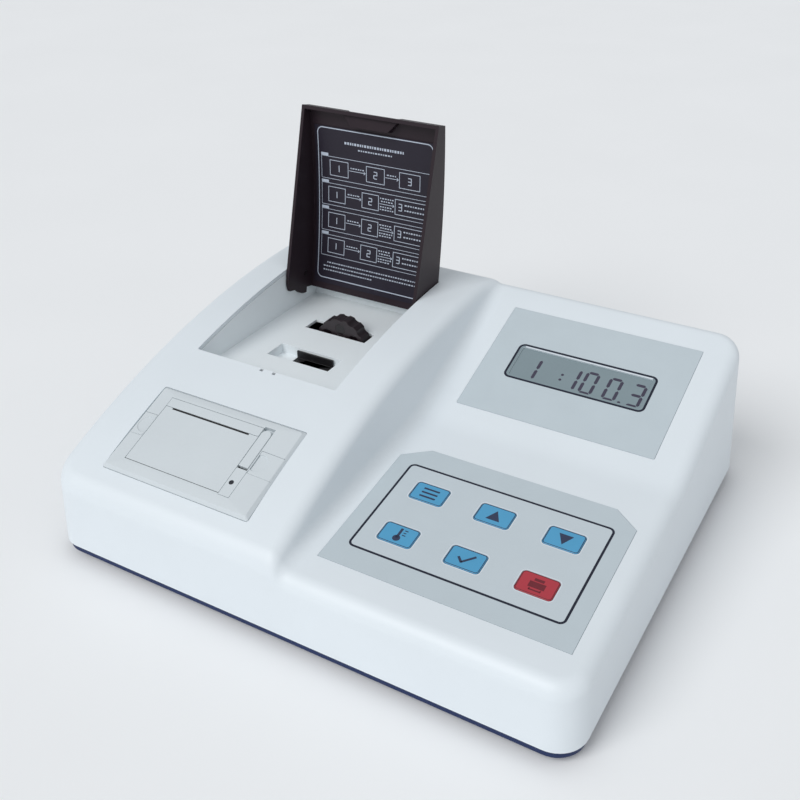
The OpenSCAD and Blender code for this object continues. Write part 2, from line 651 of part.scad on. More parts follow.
module condenser_lens() color("#cfe3ea") intersection() {
  rod_y(optic_x, post_y0 + 0.5, post_y0 + 6.5, beam_z, lens_r);
  translate([optic_x, post_y0 + 2.6 + 9, beam_z]) sphere(r = 10);
}

module detector_board() color("#2f6b45") {
  block(optic_x - 14, optic_x + 14, holder_y0 - 7, holder_y0 - 5.4, bench_z1, beam_z + 12);
  rod_y(optic_x, holder_y0 - 5.4 - e, holder_y0 - 1.4, beam_z, 4);
}

module wheel_axle() color("#c3c6ca") {
  rod_y(optic_x, wheel_y - wheel_t / 2 - 1.5, post_y0 + post_t + 2, wheel_z, axle_r - 0.02);
  rod_y(optic_x, wheel_y - wheel_t / 2 - 2.7, wheel_y - wheel_t / 2 - 1.2, wheel_z, axle_r + 1.4);
}

scallops = 14;
scallop_r = wheel_r * 0.22;
module filter_wheel() color("#17171a") difference() {
  union() {
    rod_y(optic_x, wheel_y - wheel_t / 2, wheel_y + wheel_t / 2, wheel_z, wheel_r);
    rod_y(optic_x, wheel_y - wheel_t / 2 - 0.9, wheel_y + wheel_t / 2 + 0.7, wheel_z, axle_r + 2);
  }
  rod_y(optic_x, wheel_y - wheel_t, wheel_y + wheel_t, wheel_z, axle_r + pin_fit);
  for (k = [0:scallops - 1]) rotate_at(optic_x, wheel_z, 360 * (k + 0.5) / scallops)
    rod_y(wheel_r + scallop_r - 1.1, wheel_y - wheel_t, wheel_y + wheel_t, 0, scallop_r);
  for (k = [0:filter_count - 1]) rotate_at(optic_x, wheel_z, 360 * k / filter_count - 90) {
    rod_y(filter_pitch_r, wheel_y - wheel_t, wheel_y + wheel_t, 0, filter_r - 0.8);
    rod_y(filter_pitch_r, wheel_y - wheel_t, wheel_y - wheel_t / 2 + 3, 0, filter_r);
  }
}
module rotate_at(x, z, a) translate([x, 0, z]) rotate([0, -a, 0]) children();

module colour_filters() color("#c8553d") for (k = [0:filter_count - 1])
  rotate_at(optic_x, wheel_z, 360 * k / filter_count - 90)
    rod_y(filter_pitch_r, wheel_y - wheel_t / 2 + 0.2, wheel_y - wheel_t / 2 + 3, 0, filter_r - 0.03);

module detent_spring() color("#b9bdc2") {
  spring_x = optic_x - wheel_r - 1.8;
  block(spring_x, spring_x + 0.6, wheel_y - 3, wheel_y + 3, bench_z1, wheel_z - 8);
  block(spring_x, spring_x + 7.8, wheel_y - 3, wheel_y + 3, bench_z1, bench_z1 + 0.8);
}

// The lid is drawn closed and then swung open about its pins
module lid_pose() translate([0, pivot_y, pivot_z]) rotate([-lid_open, 0, 0])
  translate([0, -pivot_y, -pivot_z]) children();
lid_y0 = well_y0 + lid_gap;
ear_r = 21.7;
module lid_profile() {
  z_front = arc_z(lid_y0) - lid_front_h;
  z_rear = pivot_z - ear_r;
  difference() {
    union() {
      polygon([[lid_y0, z_front], [pivot_y, z_rear], [pivot_y, crest_z + 5], [lid_y0, crest_z + 5]]);
      intersection() {
        translate([pivot_y, pivot_z]) circle(r = ear_r, $fn = 96);
        translate([pivot_y - 1, pivot_z - ear_r + 1.6 - 1]) slab_at(0, 0, lid_y1 - pivot_y + 1, 30, 3);
      }
      translate([pivot_y - 4, z_rear + 0.4]) square([8, 20]);
      translate([pivot_y - 1, pivot_z - 10]) square([lid_y1 - pivot_y + 1, 40]);
      translate([pivot_y, pivot_z]) circle(r = 15.3);
    }
    translate([lid_y1, pivot_z + 3]) square([20, 40]);
  }
}
module lid() color("#35292f") lid_pose() difference() {
  intersection() {
    translate([well_x - lid_w / 2, 0, 0]) rotate([90, 0, 90]) linear_extrude(lid_w) lid_profile();
    back_arc(well_x - lid_w, well_x + lid_w, hump_arc_r);
  }
  difference() {
    intersection() {
      block(well_x - lid_w / 2 + lid_t, well_x + lid_w / 2 - lid_t, lid_y0 + lid_t, well_y1 + 5,
        floor_z - 10, crest_z);
      back_arc(well_x - lid_w, well_x + lid_w, hump_arc_r - lid_t);
    }
    pull_scoop(lid_t);
  }
  pull_scoop(0);
  rod_x(well_x - lid_w, well_x + lid_w, pivot_y, pivot_z, hinge_pin_r + pin_fit);
}
// Trapezoid finger pull in the middle of the lid's front edge
module pull_scoop(grow) translate([well_x, lid_y0 - 1, arc_z(lid_y0) - 5.2 - grow / 2])
  linear_extrude(20) polygon([[-22 - grow, 0], [22 + grow, 0], [12 + grow, 8.6 + grow], [-12 - grow, 8.6 + grow]]);

label_w = lid_w - 2 * lid_t - 6;
label_y0 = lid_y0 + 12.5;
module lid_label() color("#4a4a5c") lid_pose() intersection() {
  block(well_x - label_w / 2, well_x + label_w / 2, label_y0, lid_y1 - 5, floor_z, crest_z + 2);
  difference() {
    back_arc(well_x - lid_w, well_x + lid_w, hump_arc_r - lid_t - 0.1);
    back_arc(well_x - lid_w, well_x + lid_w, hump_arc_r - lid_t - 0.6);
  }
}

module lid_pins() color("#c3c6ca") for (s = [-1, 1]) {
  xa = well_x + s * (lid_w / 2 - lid_t - 0.6);
  xb = well_x + s * (well_w / 2 + tray_t + 1.6);
  rod_x(min(xa, xb), max(xa, xb), pivot_y, pivot_z, hinge_pin_r);
  rod_x(min(xb, xb - s), max(xb, xb - s), pivot_y, pivot_z, hinge_pin_r + 1.4);
}

module lid_catch() color("#26262a") {
  block(catch_at[0] - 3, catch_at[1] + 3, well_y0 - tray_t - 1.2, well_y0 - tray_t, catch_z - 5, catch_z);
  for (x = catch_at) block(x - 0.8, x + 0.8, well_y0 - tray_t - e, well_y0 - 0.3, catch_z - 3,
    arc_z(well_y0) - 0.5);
}

module display_film() color("#b9c6cf") display_plane() difference() {
  translate([0, display_mid, -film_recess]) plate(display_w, display_len, 0.8, film_t);
  translate([0, window_mid, -2]) plate(window_w, window_len, window_r, 4);
}
module lcd_glass() color("#8fa3a8") display_plane()
  translate([0, window_mid, -film_recess - 2]) plate(window_w + 4, window_len + 4, 0.6, 2);
module lcd_module() color("#3c4046") display_plane() {
  translate([0, window_mid, -wall - 7]) plate(window_w + 12, window_len + 16, 1, 1.6);
  translate([0, window_mid, -wall - 5.4 - e]) plate(window_w + 8, window_len + 10, 1, 5.1);
}

module keypad_film() color("#bcc8d0") keypad_plane() difference() {
  translate([0, keypad_mid, -film_recess]) linear_extrude(film_t) keypad_outline(0);
  for (n = [0:5]) translate([key_at(n)[0], key_at(n)[1], -2])
    plate(key_w + 2 * key_gap, key_len + 2 * key_gap, frame_r + key_gap, 4);
}
module keypad_board() color("#2f6b45") keypad_plane()
  translate([0, key_row + key_pitch_y / 2, -board_drop - 1.6])
    plate(key_pitch_x * 2 + key_w + 22, key_pitch_y + key_len + 18, 2, 1.6);
module key_domes() color("#b9bdc2") keypad_plane() for (n = [0:5])
  translate([key_at(n)[0], key_at(n)[1], -board_drop]) cylinder(r1 = 3.4, r2 = 2.2, h = dome_h);
module key(n, tint) color(tint) keypad_plane() translate([key_at(n)[0], key_at(n)[1], 0]) {
  translate([0, 0, -1.6]) plate(key_w, key_len, frame_r, 1.6 + film_t - film_recess + key_proud);
  translate([0, 0, -board_drop + dome_h + key_travel + 0.05])
    plate(8, 6, 1, board_drop - dome_h - key_travel - 0.05 - 1.6 + e);
}

module bezel_body() {
  hull() {
    translate([rim_x, rim_s, -0.2]) plate(rim_w, rim_len, bezel_r, 0.2);
    translate([0, printer_s0, -rim_h - 0.2]) plate(bezel_w, bezel_len, bezel_r, 0.2);
    translate([0, printer_s0, -bevel_h - 0.2])
      plate(bezel_w + 2 * bevel, bezel_len + 2 * bevel, bezel_r, 0.2);
  }
  translate([0, printer_s0, -bezel_h])
    plate(bezel_w + 2 * bevel, bezel_len + 2 * bevel, bezel_r, bezel_h - bevel_h);
}
module cap_zone(s, grow) {
  x0 = s > 0 ? lever_x1 + 0.8 - grow : -bezel_w / 2 - bevel - 1;
  x1 = s > 0 ? bezel_w / 2 + bevel + 1 : door_x0 - door_gap - 0.6 + grow;
  block(x0, x1, cap_s0 - grow, cap_s1 + grow, -cap_t, 2);
}
module printer_bezel() color("#d5dcdf") printer_plane() difference() {
  union() {
    difference() {
      bezel_body();
      translate([0, printer_s0, -bezel_h - 1]) plate(bezel_w - 1, bezel_len - 1, 2, bezel_h + 1 - bezel_skin);
    }
    for (x = [door_x0 - 3.6, door_x1 + door_gap])
      block(x, x + 3.3, hinge_s - 2.6, hinge_s + 2.6, hinge_h - 2.4, -3.3);
    block(lever_x1, lever_x1 + 3, lever_axis - 2.6, lever_axis + 2.6, hinge_h - 2.4, -3.3);
  }
  rod_x(door_x0 - 2.7, door_x1 + 2.7, hinge_s, hinge_h, door_pin_r + 0.02);
  rod_x(lever_x0, lever_x1 + 1.8, lever_axis, hinge_h, lever_pin_r + 0.02);
  block(door_x0 - door_gap, door_x1 + door_gap, door_s0 - door_gap, tear_s1 + 0.3, -5, 1);
  block(lever_x0 - gap, lever_x1, lever_front, 51.6, -2.9, 1);
  block(lever_x0 - gap, lever_x1, lever_front, lever_axis + 3, -8, 1);
  rod_x(door_x0 - door_gap, door_x1 + door_gap, hinge_s, hinge_h, 4.7);
  for (s = [-1, 1]) cap_zone(s, 0.2);
  translate([led_x, led_s, -5]) cylinder(r = led_r + 0.1, h = 6);
  block(lever_x1 + 0.2, lever_x1 + 0.5, 0, lever_front + e, -0.6, 1);
  block(door_x1 + door_gap - e, lever_x1 + 0.5, -0.1, 0.2, -0.6, 1);
}
rim_w = bezel_w - 24;
rim_x = -2.2;
rim_s = printer_s0 + 0.8;
rim_len = bezel_len - 9.4;
rim_h = 0.7;
lever_x1 = lever_x0 + lever_w + gap;
tear_s1 = 50.3;
cap_s0 = 18.8;
cap_s1 = 35.4;
cap_t = 1.5;
scoop_r = 6;
led_x = door_x1 + 3.4;
led_s = 9.8;
led_r = 1.5;
module bezel_caps() color("#dbe1e4") printer_plane() for (s = [-1, 1]) difference() {
  intersection() {
    bezel_body();
    cap_zone(s, 0);
  }
  translate([s > 0 ? lever_x1 + 3.4 : door_x0 - 3.4, (cap_s0 + cap_s1) / 2, -0.9])
    cylinder(r = scoop_r, h = 3);
}
module status_led() color("#20242a") printer_plane() translate([led_x, led_s, -6]) {
  cylinder(r = led_r, h = 5.8);
  cylinder(r = led_r + 0.6, h = 1);
}

module tear_bar() color("#dbe1e4") printer_plane()
  block(door_x0, door_x1, door_s1 + 0.3, tear_s1, -3, 0.25);

module printer_chassis() color("#24262a") printer_plane() difference() {
  x0 = door_x0 - 2.4;
  union() {
    block(x0, chassis_x1, 2, 51, -bucket_h - bucket_t, -bezel_h - 0.3);
    block(x0, x0 + bucket_t, 34, 51, -bezel_h - 0.4, -bezel_skin - gap);
    block(chassis_x1 - 1.5, chassis_x1, 34, 51, -bezel_h - 0.4, -5.4);
    block(x0, chassis_x1, 49.4, 51, -bezel_h - 0.4, -bezel_skin - gap);
  }
  block(x0 + bucket_t, chassis_x1 - 1.5, 2 + bucket_t, 51 - bucket_t, -bucket_h, 0);
  rod_x(chassis_x1 - 3, chassis_x1 + 1, platen_s, pinion_h, 1.4);
}

module door_pin() color("#c3c6ca") printer_plane()
  rod_x(door_x0 - 2.6, door_x1 + 2.6, hinge_s, hinge_h, door_pin_r);

module printer_door() color("#d9dfe2") printer_plane() difference() {
  union() {
    difference() {
      block(door_x0, door_x1, door_s0, door_s1, -door_t, 0);
      block(paper_x - paper_w / 2 - 1, paper_x + paper_w / 2 + 1, door_s1 - 1.1, door_s1 + 1, -3, 1);
    }
    for (x = [door_x0 + 1, door_x1 - 7]) {
      rod_x(x, x + 6, hinge_s, hinge_h, 2.4);
      block(x, x + 6, hinge_s - 1.6, hinge_s + 2.4, hinge_h, -door_t + e);
    }
    for (x = [door_x0 + 1, door_x1 - 3.4]) {
      rod_x(x, x + 2.6, platen_s, platen_h, 3.6);
      block(x, x + 2.6, platen_s - 3.6, platen_s + 3.2, platen_h, -door_t + e);
    }
  }
  rod_x(door_x0 - 1, door_x1 + 1, hinge_s, hinge_h, door_pin_r + pin_fit);
  rod_x(door_x0 - 1, door_x1 + 1, platen_s, platen_h, 1.5 + pin_fit);
}

module gear(teeth, t, bore) rotate([90, 0, 90]) linear_extrude(t) {
  r_out = gear_m * teeth / 2 + 0.45;
  r_root = gear_m * teeth / 2 - 0.6;
  difference() {
    polygon([
      for (k = [0:teeth - 1]) let (a = 360 * k / teeth, w = 360 / teeth) each [
        [r_root * cos(a - 0.3 * w), r_root * sin(a - 0.3 * w)],
        [r_out * cos(a - 0.12 * w), r_out * sin(a - 0.12 * w)],
        [r_out * cos(a + 0.12 * w), r_out * sin(a + 0.12 * w)],
        [r_root * cos(a + 0.3 * w), r_root * sin(a + 0.3 * w)]
      ]
    ]);
    circle(r = bore);
  }
}

module platen_axle() color("#c3c6ca") printer_plane() {
  rod_x(door_x0 + 1, door_x1 - 0.8, platen_s, platen_h, 1.5);
  translate([gear_x0, platen_s, platen_h]) gear(gear_teeth, gear_t, 1.4);
}
module platen_rubber() color("#2b2b2e") printer_plane() difference() {
  rod_x(paper_x - paper_w / 2 - 0.5, paper_x + paper_w / 2 + 0.5, platen_s, platen_h, platen_r);
  rod_x(paper_x - paper_w, paper_x + paper_w, platen_s, platen_h, 1.51);
}
module thermal_head() color("#8f8a78") printer_plane() {
  head_s = platen_s + platen_r + 0.9;
  block(paper_x - paper_w / 2 + 1.5, paper_x + paper_w / 2 - 1.5, head_s, head_s + 1.6, -17, -4);
  block(paper_x - paper_w / 2 - 0.5, paper_x + paper_w / 2 + 0.5, head_s + 1.6 - e, 49.1, -18, -6);
}
module feed_motor() color("#a9adb2") printer_plane()
  rod_x(chassis_x1 + 0.1, chassis_x1 + 12, platen_s, pinion_h, 7);
module drive_pinion() color("#d8d2b8") printer_plane() {
  translate([gear_x0, platen_s, pinion_h]) gear(pinion_teeth, gear_t, 0.7);
  rod_x(gear_x0, chassis_x1, platen_s, pinion_h, 0.75);
}

module release_lever() color("#dbe1e4") printer_plane() difference() {
  union() {
    block(lever_x0, lever_x0 + lever_w, lever_s0, lever_s1, -2.6, 0.5);
    translate([lever_x0 + lever_w / 2, lever_s1, -2.6]) cylinder(r = lever_w / 2, h = 3.1);
    rod_x(lever_x0, lever_x0 + lever_w, lever_axis, hinge_h, 2);
    block(lever_x0, lever_x0 + lever_w, lever_axis - 2, lever_axis + 2, hinge_h, -2);
  }
  rod_x(lever_x0 - 1, lever_x0 + lever_w + 1, lever_axis, hinge_h, lever_pin_r + pin_fit);
}
module lever_pin() color("#c3c6ca") printer_plane()
  rod_x(lever_x0, lever_x1 + 1.7, lever_axis, hinge_h, lever_pin_r);

module paper_roll() color("#f4f2ec") printer_plane() difference() {
  rod_x(paper_x - paper_w / 2, paper_x + paper_w / 2, roll_s, roll_h, paper_r);
  rod_x(paper_x - paper_w, paper_x + paper_w, roll_s, roll_h, 6);
}

module main_board() color("#2f6b45") {
  bx = (board_x0 + board_x1) / 2;
  by = (board_y0 + board_y1) / 2;
  block(board_x0, board_x1, board_y0, board_y1, board_z, board_z + 1.6);
  block(bx - 12, bx + 12, by - 12, by + 12, board_z + 1.6 - e, board_z + 4);
  block(bx + 18, bx + 30, by - 10, by + 4, board_z + 1.6 - e, board_z + 6);
}
module power_supply() color("#3a5c9c") {
  px = (board_x0 + power_x1) / 2;
  py = (power_y0 + power_y1) / 2;
  block(board_x0 + 5, power_x1, power_y0, power_y1, power_z, power_z + 1.6);
  block(px - 20, px + 20, py - 18, py + 18, power_z + 1.6 - e, power_z + 28);
}

top_cover();
base_pan();
rubber_feet();
case_screws();
rear_panel();
sample_tray();
recess_pan();
cuvette_holder();
optics_bench();
lamp_housing();
source_lamp();
condenser_lens();
detector_board();
wheel_axle();
filter_wheel();
colour_filters();
detent_spring();
lid();
lid_label();
lid_pins();
lid_catch();
display_film();
lcd_glass();
lcd_module();
keypad_film();
keypad_board();
key_domes();
key(0, "#4f9fd0");  // key_menu
key(1, "#4f9fd0");  // key_up
key(2, "#4f9fd0");  // key_down
key(3, "#4f9fd0");  // key_unit
key(4, "#4f9fd0");  // key_ok
key(5, "#c8434f");  // key_print
printer_bezel();
bezel_caps();
status_led();
tear_bar();
printer_chassis();
door_pin();
printer_door();
platen_axle();
platen_rubber();
thermal_head();
feed_motor();
drive_pinion();
release_lever();
lever_pin();
paper_roll();
main_board();
power_supply();
power_inlet();
switch_frame();
switch_rocker();
probe_socket();
sensor_socket();
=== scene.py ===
import math
import bmesh
import bpy
from mathutils import Matrix, Vector
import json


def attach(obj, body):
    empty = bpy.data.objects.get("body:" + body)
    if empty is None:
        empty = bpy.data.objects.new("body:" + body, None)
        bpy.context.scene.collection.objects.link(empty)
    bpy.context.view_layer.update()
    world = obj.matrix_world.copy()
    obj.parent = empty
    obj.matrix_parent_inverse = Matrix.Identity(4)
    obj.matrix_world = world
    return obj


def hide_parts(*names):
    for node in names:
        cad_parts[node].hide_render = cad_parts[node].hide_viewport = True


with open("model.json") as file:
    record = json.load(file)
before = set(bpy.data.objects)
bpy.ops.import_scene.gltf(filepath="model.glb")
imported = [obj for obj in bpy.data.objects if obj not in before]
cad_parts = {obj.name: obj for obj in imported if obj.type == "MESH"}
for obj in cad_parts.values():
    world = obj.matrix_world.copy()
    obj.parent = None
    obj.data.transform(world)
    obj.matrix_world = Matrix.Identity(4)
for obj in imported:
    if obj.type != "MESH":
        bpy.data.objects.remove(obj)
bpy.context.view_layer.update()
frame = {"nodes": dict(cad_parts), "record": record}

MM = 0.001


def sin(degrees):
    return math.sin(math.radians(degrees))


def cos(degrees):
    return math.cos(math.radians(degrees))


def tan(degrees):
    return math.tan(math.radians(degrees))


# Real sizes in millimetres and angles in degrees, as in the CAD source
LEFT, RIGHT, FRONT, REAR = -175.0, 175.0, -152.0, 152.0
WALL = 2.8
CORNER_R = 18.0
EDGE_R = 9.0
SIDE_DRAFT = 2.2
REAR_LEAN = 11.2
REAR_SHARE = 0.965
COVER_Z = 10.0
FRONT_WALL = 40.7

# The two sloping faces and the soft crease between them
KEYPAD_TILT = 7.7
DISPLAY_TILT = 19.3
CREASE_SHARE = 0.508
CREASE_SOFT = 6.0
CREASE_Y = FRONT + (REAR - FRONT) * CREASE_SHARE
FACE_Y = FRONT + tan(SIDE_DRAFT) * FRONT_WALL
FACE_Z = COVER_Z + FRONT_WALL
CREASE_Z = FACE_Z + tan(KEYPAD_TILT) * (CREASE_Y - FACE_Y)

# The arched raised side: its crest, its arc, and the two bends of its blended wall
CREST_Y, CREST_Z = 110.0, 119.5
HUMP_FALL = 63.15
ARC_R = ((CREST_Y - FRONT) ** 2 + HUMP_FALL ** 2) / (2 * HUMP_FALL)
REAR_FALL_AT = 12.0
REAR_FALL_R = 170.0
HUMP_X = -3.0
BLEND_R = 9.0
BLEND_ANGLE = 80

# Sample well and lid
WELL_X, WELL_Y0 = -88.7, -37.7
WELL_W, WELL_LEN, WELL_R = 108.0, 134.7, 1.2
FLOOR_Z = 85.5
PIVOT_Y, PIVOT_Z, LID_OPEN = 83.6, 108.0, 102.5
LID_T = 2.4
LID_Y0 = WELL_Y0 + 0.6
CATCH_OFFSETS = (-0.8, 8.7)
ABOVE_COVER = 130.0

# Display, keypad and printer, each on its own plane
PANEL_X = RIGHT - 90.4
FILM_SINK = 0.6
FILM_UP = 0.2
DISPLAY_W, DISPLAY_LEN, DISPLAY_MID = 130.7, 92.9, 64.96
WINDOW_W, WINDOW_LEN, WINDOW_MID = 93.2, 29.58, 65.26
KEYPAD_W, KEYPAD_LEN, KEYPAD_FRONT = 149.2, 104.16, 23.7
KEY_W, KEY_LEN, KEY_R = 21.3, 14.4, 2.2
KEY_HOLE_W, KEY_HOLE_LEN, KEY_HOLE_R = 21.9, 15.0, 2.5
KEY_STEP_X, KEY_STEP_Y, KEY_ROW_Y = 41.9, 36.5, 56.6
KEYS = ("menu", "up", "down", "unit", "ok", "print")
PRINTER_X, PRINTER_Y, PRINTER_Z, PRINTER_TILT = LEFT + 88.5, FRONT + 24.7, COVER_Z + 61.197, 21.0
BEZEL_W, BEZEL_LEN, BEZEL_MID, BEZEL_R = 109.5, 66.5, 24.8, 1.75
BAY_W, BAY_Z0, BAY_Z1 = 160.5, 21.75, 64.25


# Finishes
def srgb(*channels):
    """A linear colour from the usual 0 to 255 values."""
    shares = [v / 255 for v in channels]
    linear = [v / 12.92 if v <= 0.04045 else ((v + 0.055) / 1.055) ** 2.4 for v in shares]
    return tuple(linear) + (1.0,)


def scaled(color, factor):
    return tuple(min(1.0, v * factor) for v in color[:3]) + (1.0,)


def noise(nodes, link, place, scale, detail):
    node = nodes.new("ShaderNodeTexNoise")
    node.inputs["Scale"].default_value = scale
    node.inputs["Detail"].default_value = detail
    link(place.outputs["Object"], node.inputs["Vector"])
    return node


ROUGH_SPREAD = 0.06
GRAIN_DEPTH = 0.0001


def finish(name, color, rough, vary, scale, grain, bump, metal=0.0, coat=0.0, clear=0.0, ior=1.5):
    """A material with clouded colour and roughness, and a fine moulded or rolled grain."""
    mat = bpy.data.materials.new(name)
    mat.use_nodes = True
    nodes = mat.node_tree.nodes
    link = mat.node_tree.links.new
    shader = nodes["Principled BSDF"]
    place = nodes.new("ShaderNodeTexCoord")
    cloud = noise(nodes, link, place, scale, 4)
    ramp = nodes.new("ShaderNodeValToRGB")
    for element, position, factor in zip(ramp.color_ramp.elements, (0.3, 0.7), (1 - vary, 1 + vary)):
        element.position = position
        element.color = scaled(color, factor)
    link(cloud.outputs["Fac"], ramp.inputs["Fac"])
    link(ramp.outputs["Color"], shader.inputs["Base Color"])
    spread = nodes.new("ShaderNodeMapRange")
    spread.inputs["To Min"].default_value = max(0.02, rough - ROUGH_SPREAD)
    spread.inputs["To Max"].default_value = min(1.0, rough + ROUGH_SPREAD)
    link(cloud.outputs["Fac"], spread.inputs["Value"])
    link(spread.outputs["Result"], shader.inputs["Roughness"])
    fine = noise(nodes, link, place, grain, 2)
    press = nodes.new("ShaderNodeBump")
    press.inputs["Strength"].default_value = bump
    press.inputs["Distance"].default_value = GRAIN_DEPTH
    link(fine.outputs["Fac"], press.inputs["Height"])
    link(press.outputs["Normal"], shader.inputs["Normal"])
    shader.inputs["Metallic"].default_value = metal
    shader.inputs["Coat Weight"].default_value = coat
    shader.inputs["Transmission Weight"].default_value = clear
    shader.inputs["IOR"].default_value = ior
    return mat


# The numbers are roughness, spread of colour, scale of clouds, scale of grain and strength of grain
M = {
    "housing_plastic": finish("moulded_shell", srgb(226, 233, 238), 0.44, 0.012, 18, 2600, 0.12),
    "base_plastic": finish("dark_blue_pan", srgb(25, 43, 86), 0.55, 0.06, 30, 1800, 0.15, ior=1.4),
    "lid_plastic": finish("dark_lid", srgb(43, 33, 39), 0.42, 0.08, 25, 1700, 0.06, ior=1.32),
    "label_film": finish("lid_print_ground", srgb(41, 37, 48), 0.36, 0.06, 40, 900, 0.03, ior=1.32),
    "panel_film": finish("panel_print_ground", srgb(193, 204, 210), 0.46, 0.015, 50, 2200, 0.1),
    "key_blue": finish("blue_keys", srgb(82, 160, 202), 0.36, 0.03, 60, 2000, 0.08),
    "key_red": finish("red_key", srgb(178, 55, 67), 0.36, 0.03, 60, 2000, 0.08),
    "printer_plastic": finish("printer_shell", srgb(209, 216, 220), 0.46, 0.015, 30, 2400, 0.12),
    "black_plastic": finish("black_moulding", srgb(19, 17, 20), 0.5, 0.12, 40, 1500, 0.15),
    "glass": finish("display_ground", srgb(130, 146, 152), 0.2, 0.035, 25, 700, 0.01, coat=0.4),
    "filter_glass": finish("filter_glass", srgb(26, 17, 22), 0.08, 0.08, 90, 900, 0.0, clear=0.3),
    "steel": finish("pins", srgb(196, 200, 204), 0.3, 0.05, 60, 1200, 0.05, metal=1.0),
    "nickel": finish("plated", srgb(206, 208, 212), 0.2, 0.04, 60, 1200, 0.03, metal=1.0),
    "aluminium": finish("turned", srgb(160, 164, 168), 0.36, 0.05, 60, 1200, 0.08, metal=1.0),
    "rubber": finish("feet_rubber", srgb(34, 36, 40), 0.8, 0.1, 60, 1500, 0.2),
    "board": finish("board", srgb(38, 98, 62), 0.4, 0.08, 120, 900, 0.1),
    "paper": finish("roll", srgb(240, 238, 230), 0.7, 0.02, 60, 1500, 0.06),
    "brass": finish("gear", srgb(214, 206, 176), 0.45, 0.04, 60, 1200, 0.05),
    "lamp_cap": finish("dark_lamp_cap", srgb(30, 34, 44), 0.15, 0.1, 80, 900, 0.02, coat=0.5),
    # The tray and recess pan are the shell's white plastic painted lighter: painted light that brightens the
    # shaded well
    "tray_plastic": finish("tray_with_painted_light", srgb(236, 242, 245), 0.5, 0.012, 20, 2400, 0.12),
    "dark_steel": finish("blackened_pins", srgb(62, 56, 60), 0.45, 0.06, 80, 1200, 0.05, metal=0.9),
    "wheel_plastic": finish("moulded_wheel", srgb(41, 33, 37), 0.42, 0.08, 60, 1800, 0.1),
    "ink_navy": finish("printed_navy", srgb(17, 23, 44), 0.4, 0.05, 80, 900, 0.02),
    "ink_pale": finish("printed_pale", srgb(186, 195, 210), 0.5, 0.04, 300, 900, 0.02),
    "white_print_and_highlight": finish("white_print_and_painted_highlight", srgb(216, 223, 230), 0.5, 0.02, 200, 900, 0.02),
    "field": finish("printed_field", srgb(198, 208, 214), 0.46, 0.012, 50, 2200, 0.1),
    "segment": finish("display_segments", srgb(64, 60, 78), 0.35, 0.05, 120, 900, 0.02),
    "key_ink": finish("key_print_ink", srgb(46, 56, 84), 0.4, 0.05, 120, 900, 0.02),
    "key_red_ink": finish("key_red_ink", srgb(112, 30, 42), 0.4, 0.05, 120, 900, 0.02),
    "bench": finish("bench_top", srgb(248, 249, 250), 0.7, 0.006, 6, 300, 0.02),
}
OWN_FINISH = {"status_led": "lamp_cap", "sample_tray": "tray_plastic", "recess_pan": "tray_plastic",
              "filter_wheel": "wheel_plastic", "lid_pins": "dark_steel"}
slots = {part["node"]: part["material_slot"] for part in frame["record"]["subparts"]}
for node, obj in frame["nodes"].items():
    obj.data.materials.clear()
    obj.data.materials.append(M[OWN_FINISH.get(node, slots[node])])


# Mesh helpers
def put(name, verts, faces, mat, body="housing", smooth=None, slot=None):
    """A mesh in millimetres, riding on a body. The slot argument is not used."""
    mesh = bpy.data.meshes.new(name)
    mesh.from_pydata([Vector(v) * MM for v in verts], [], faces)
    mesh.validate()
    obj = bpy.data.objects.new(name, mesh)
    bpy.context.scene.collection.objects.link(obj)
    mesh.materials.append(M[mat])
    if smooth is not None:
        soften(obj, smooth)
    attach(obj, body)
    return obj


def soften(obj, angle):
    """Smooth shading, with every edge bent more than the angle kept sharp."""
    mesh = obj.data
    for face in mesh.polygons:
        face.use_smooth = True
    bm = bmesh.new()
    bm.from_mesh(mesh)
    limit = math.radians(angle)
    for edge in bm.edges:
        edge.smooth = len(edge.link_faces) == 2 and edge.calc_face_angle(0) < limit
    bm.to_mesh(mesh)
    bm.free()


def plane(x, y, z, tilt):
    return Matrix.Translation((x, y, z)) @ Matrix.Rotation(math.radians(tilt), 4, "X")


KEYPAD = plane(PANEL_X, FACE_Y, FACE_Z, KEYPAD_TILT)
DISPLAY = plane(PANEL_X, CREASE_Y, CREASE_Z, DISPLAY_TILT)
PRINTER = plane(PRINTER_X, PRINTER_Y, PRINTER_Z, PRINTER_TILT)
LEVEL = Matrix.Identity(4)


def rounded(w, d, r, cx=0.0, cy=0.0, n=6):
    """The outline of a rectangle with rounded corners, n steps in each."""
    points = []
    for sx, sy, start in ((1, 1, 0), (-1, 1, 90), (-1, -1, 180), (1, -1, 270)):
        for k in range(n + 1):
            a = start + 90 * k / n
            points.append((cx + sx * (w / 2 - r) + r * cos(a), cy + sy * (d / 2 - r) + r * sin(a)))
    return points


def ring_faces(n, low, high):
    return [(low + k, low + (k + 1) % n, high + (k + 1) % n, high + k) for k in range(n)]


def prism(name, at, outline, z0, z1, mat, body="housing", chamfer=0.0, shrink=None, **more):
    """A prism on a plane. With a chamfer, shrink is the smaller outline of its top."""
    rings = [(outline, z0), (outline, z1 - chamfer)]
    if chamfer:
        rings.append((shrink, z1))
    n = len(outline)
    verts = [at @ Vector((x, y, z)) for ring, z in rings for x, y in ring]
    faces = [tuple(reversed(range(n))), tuple(range((len(rings) - 1) * n, len(rings) * n))]
    for r in range(len(rings) - 1):
        faces += ring_faces(n, r * n, (r + 1) * n)
    return put(name, verts, faces, mat, body, **more)


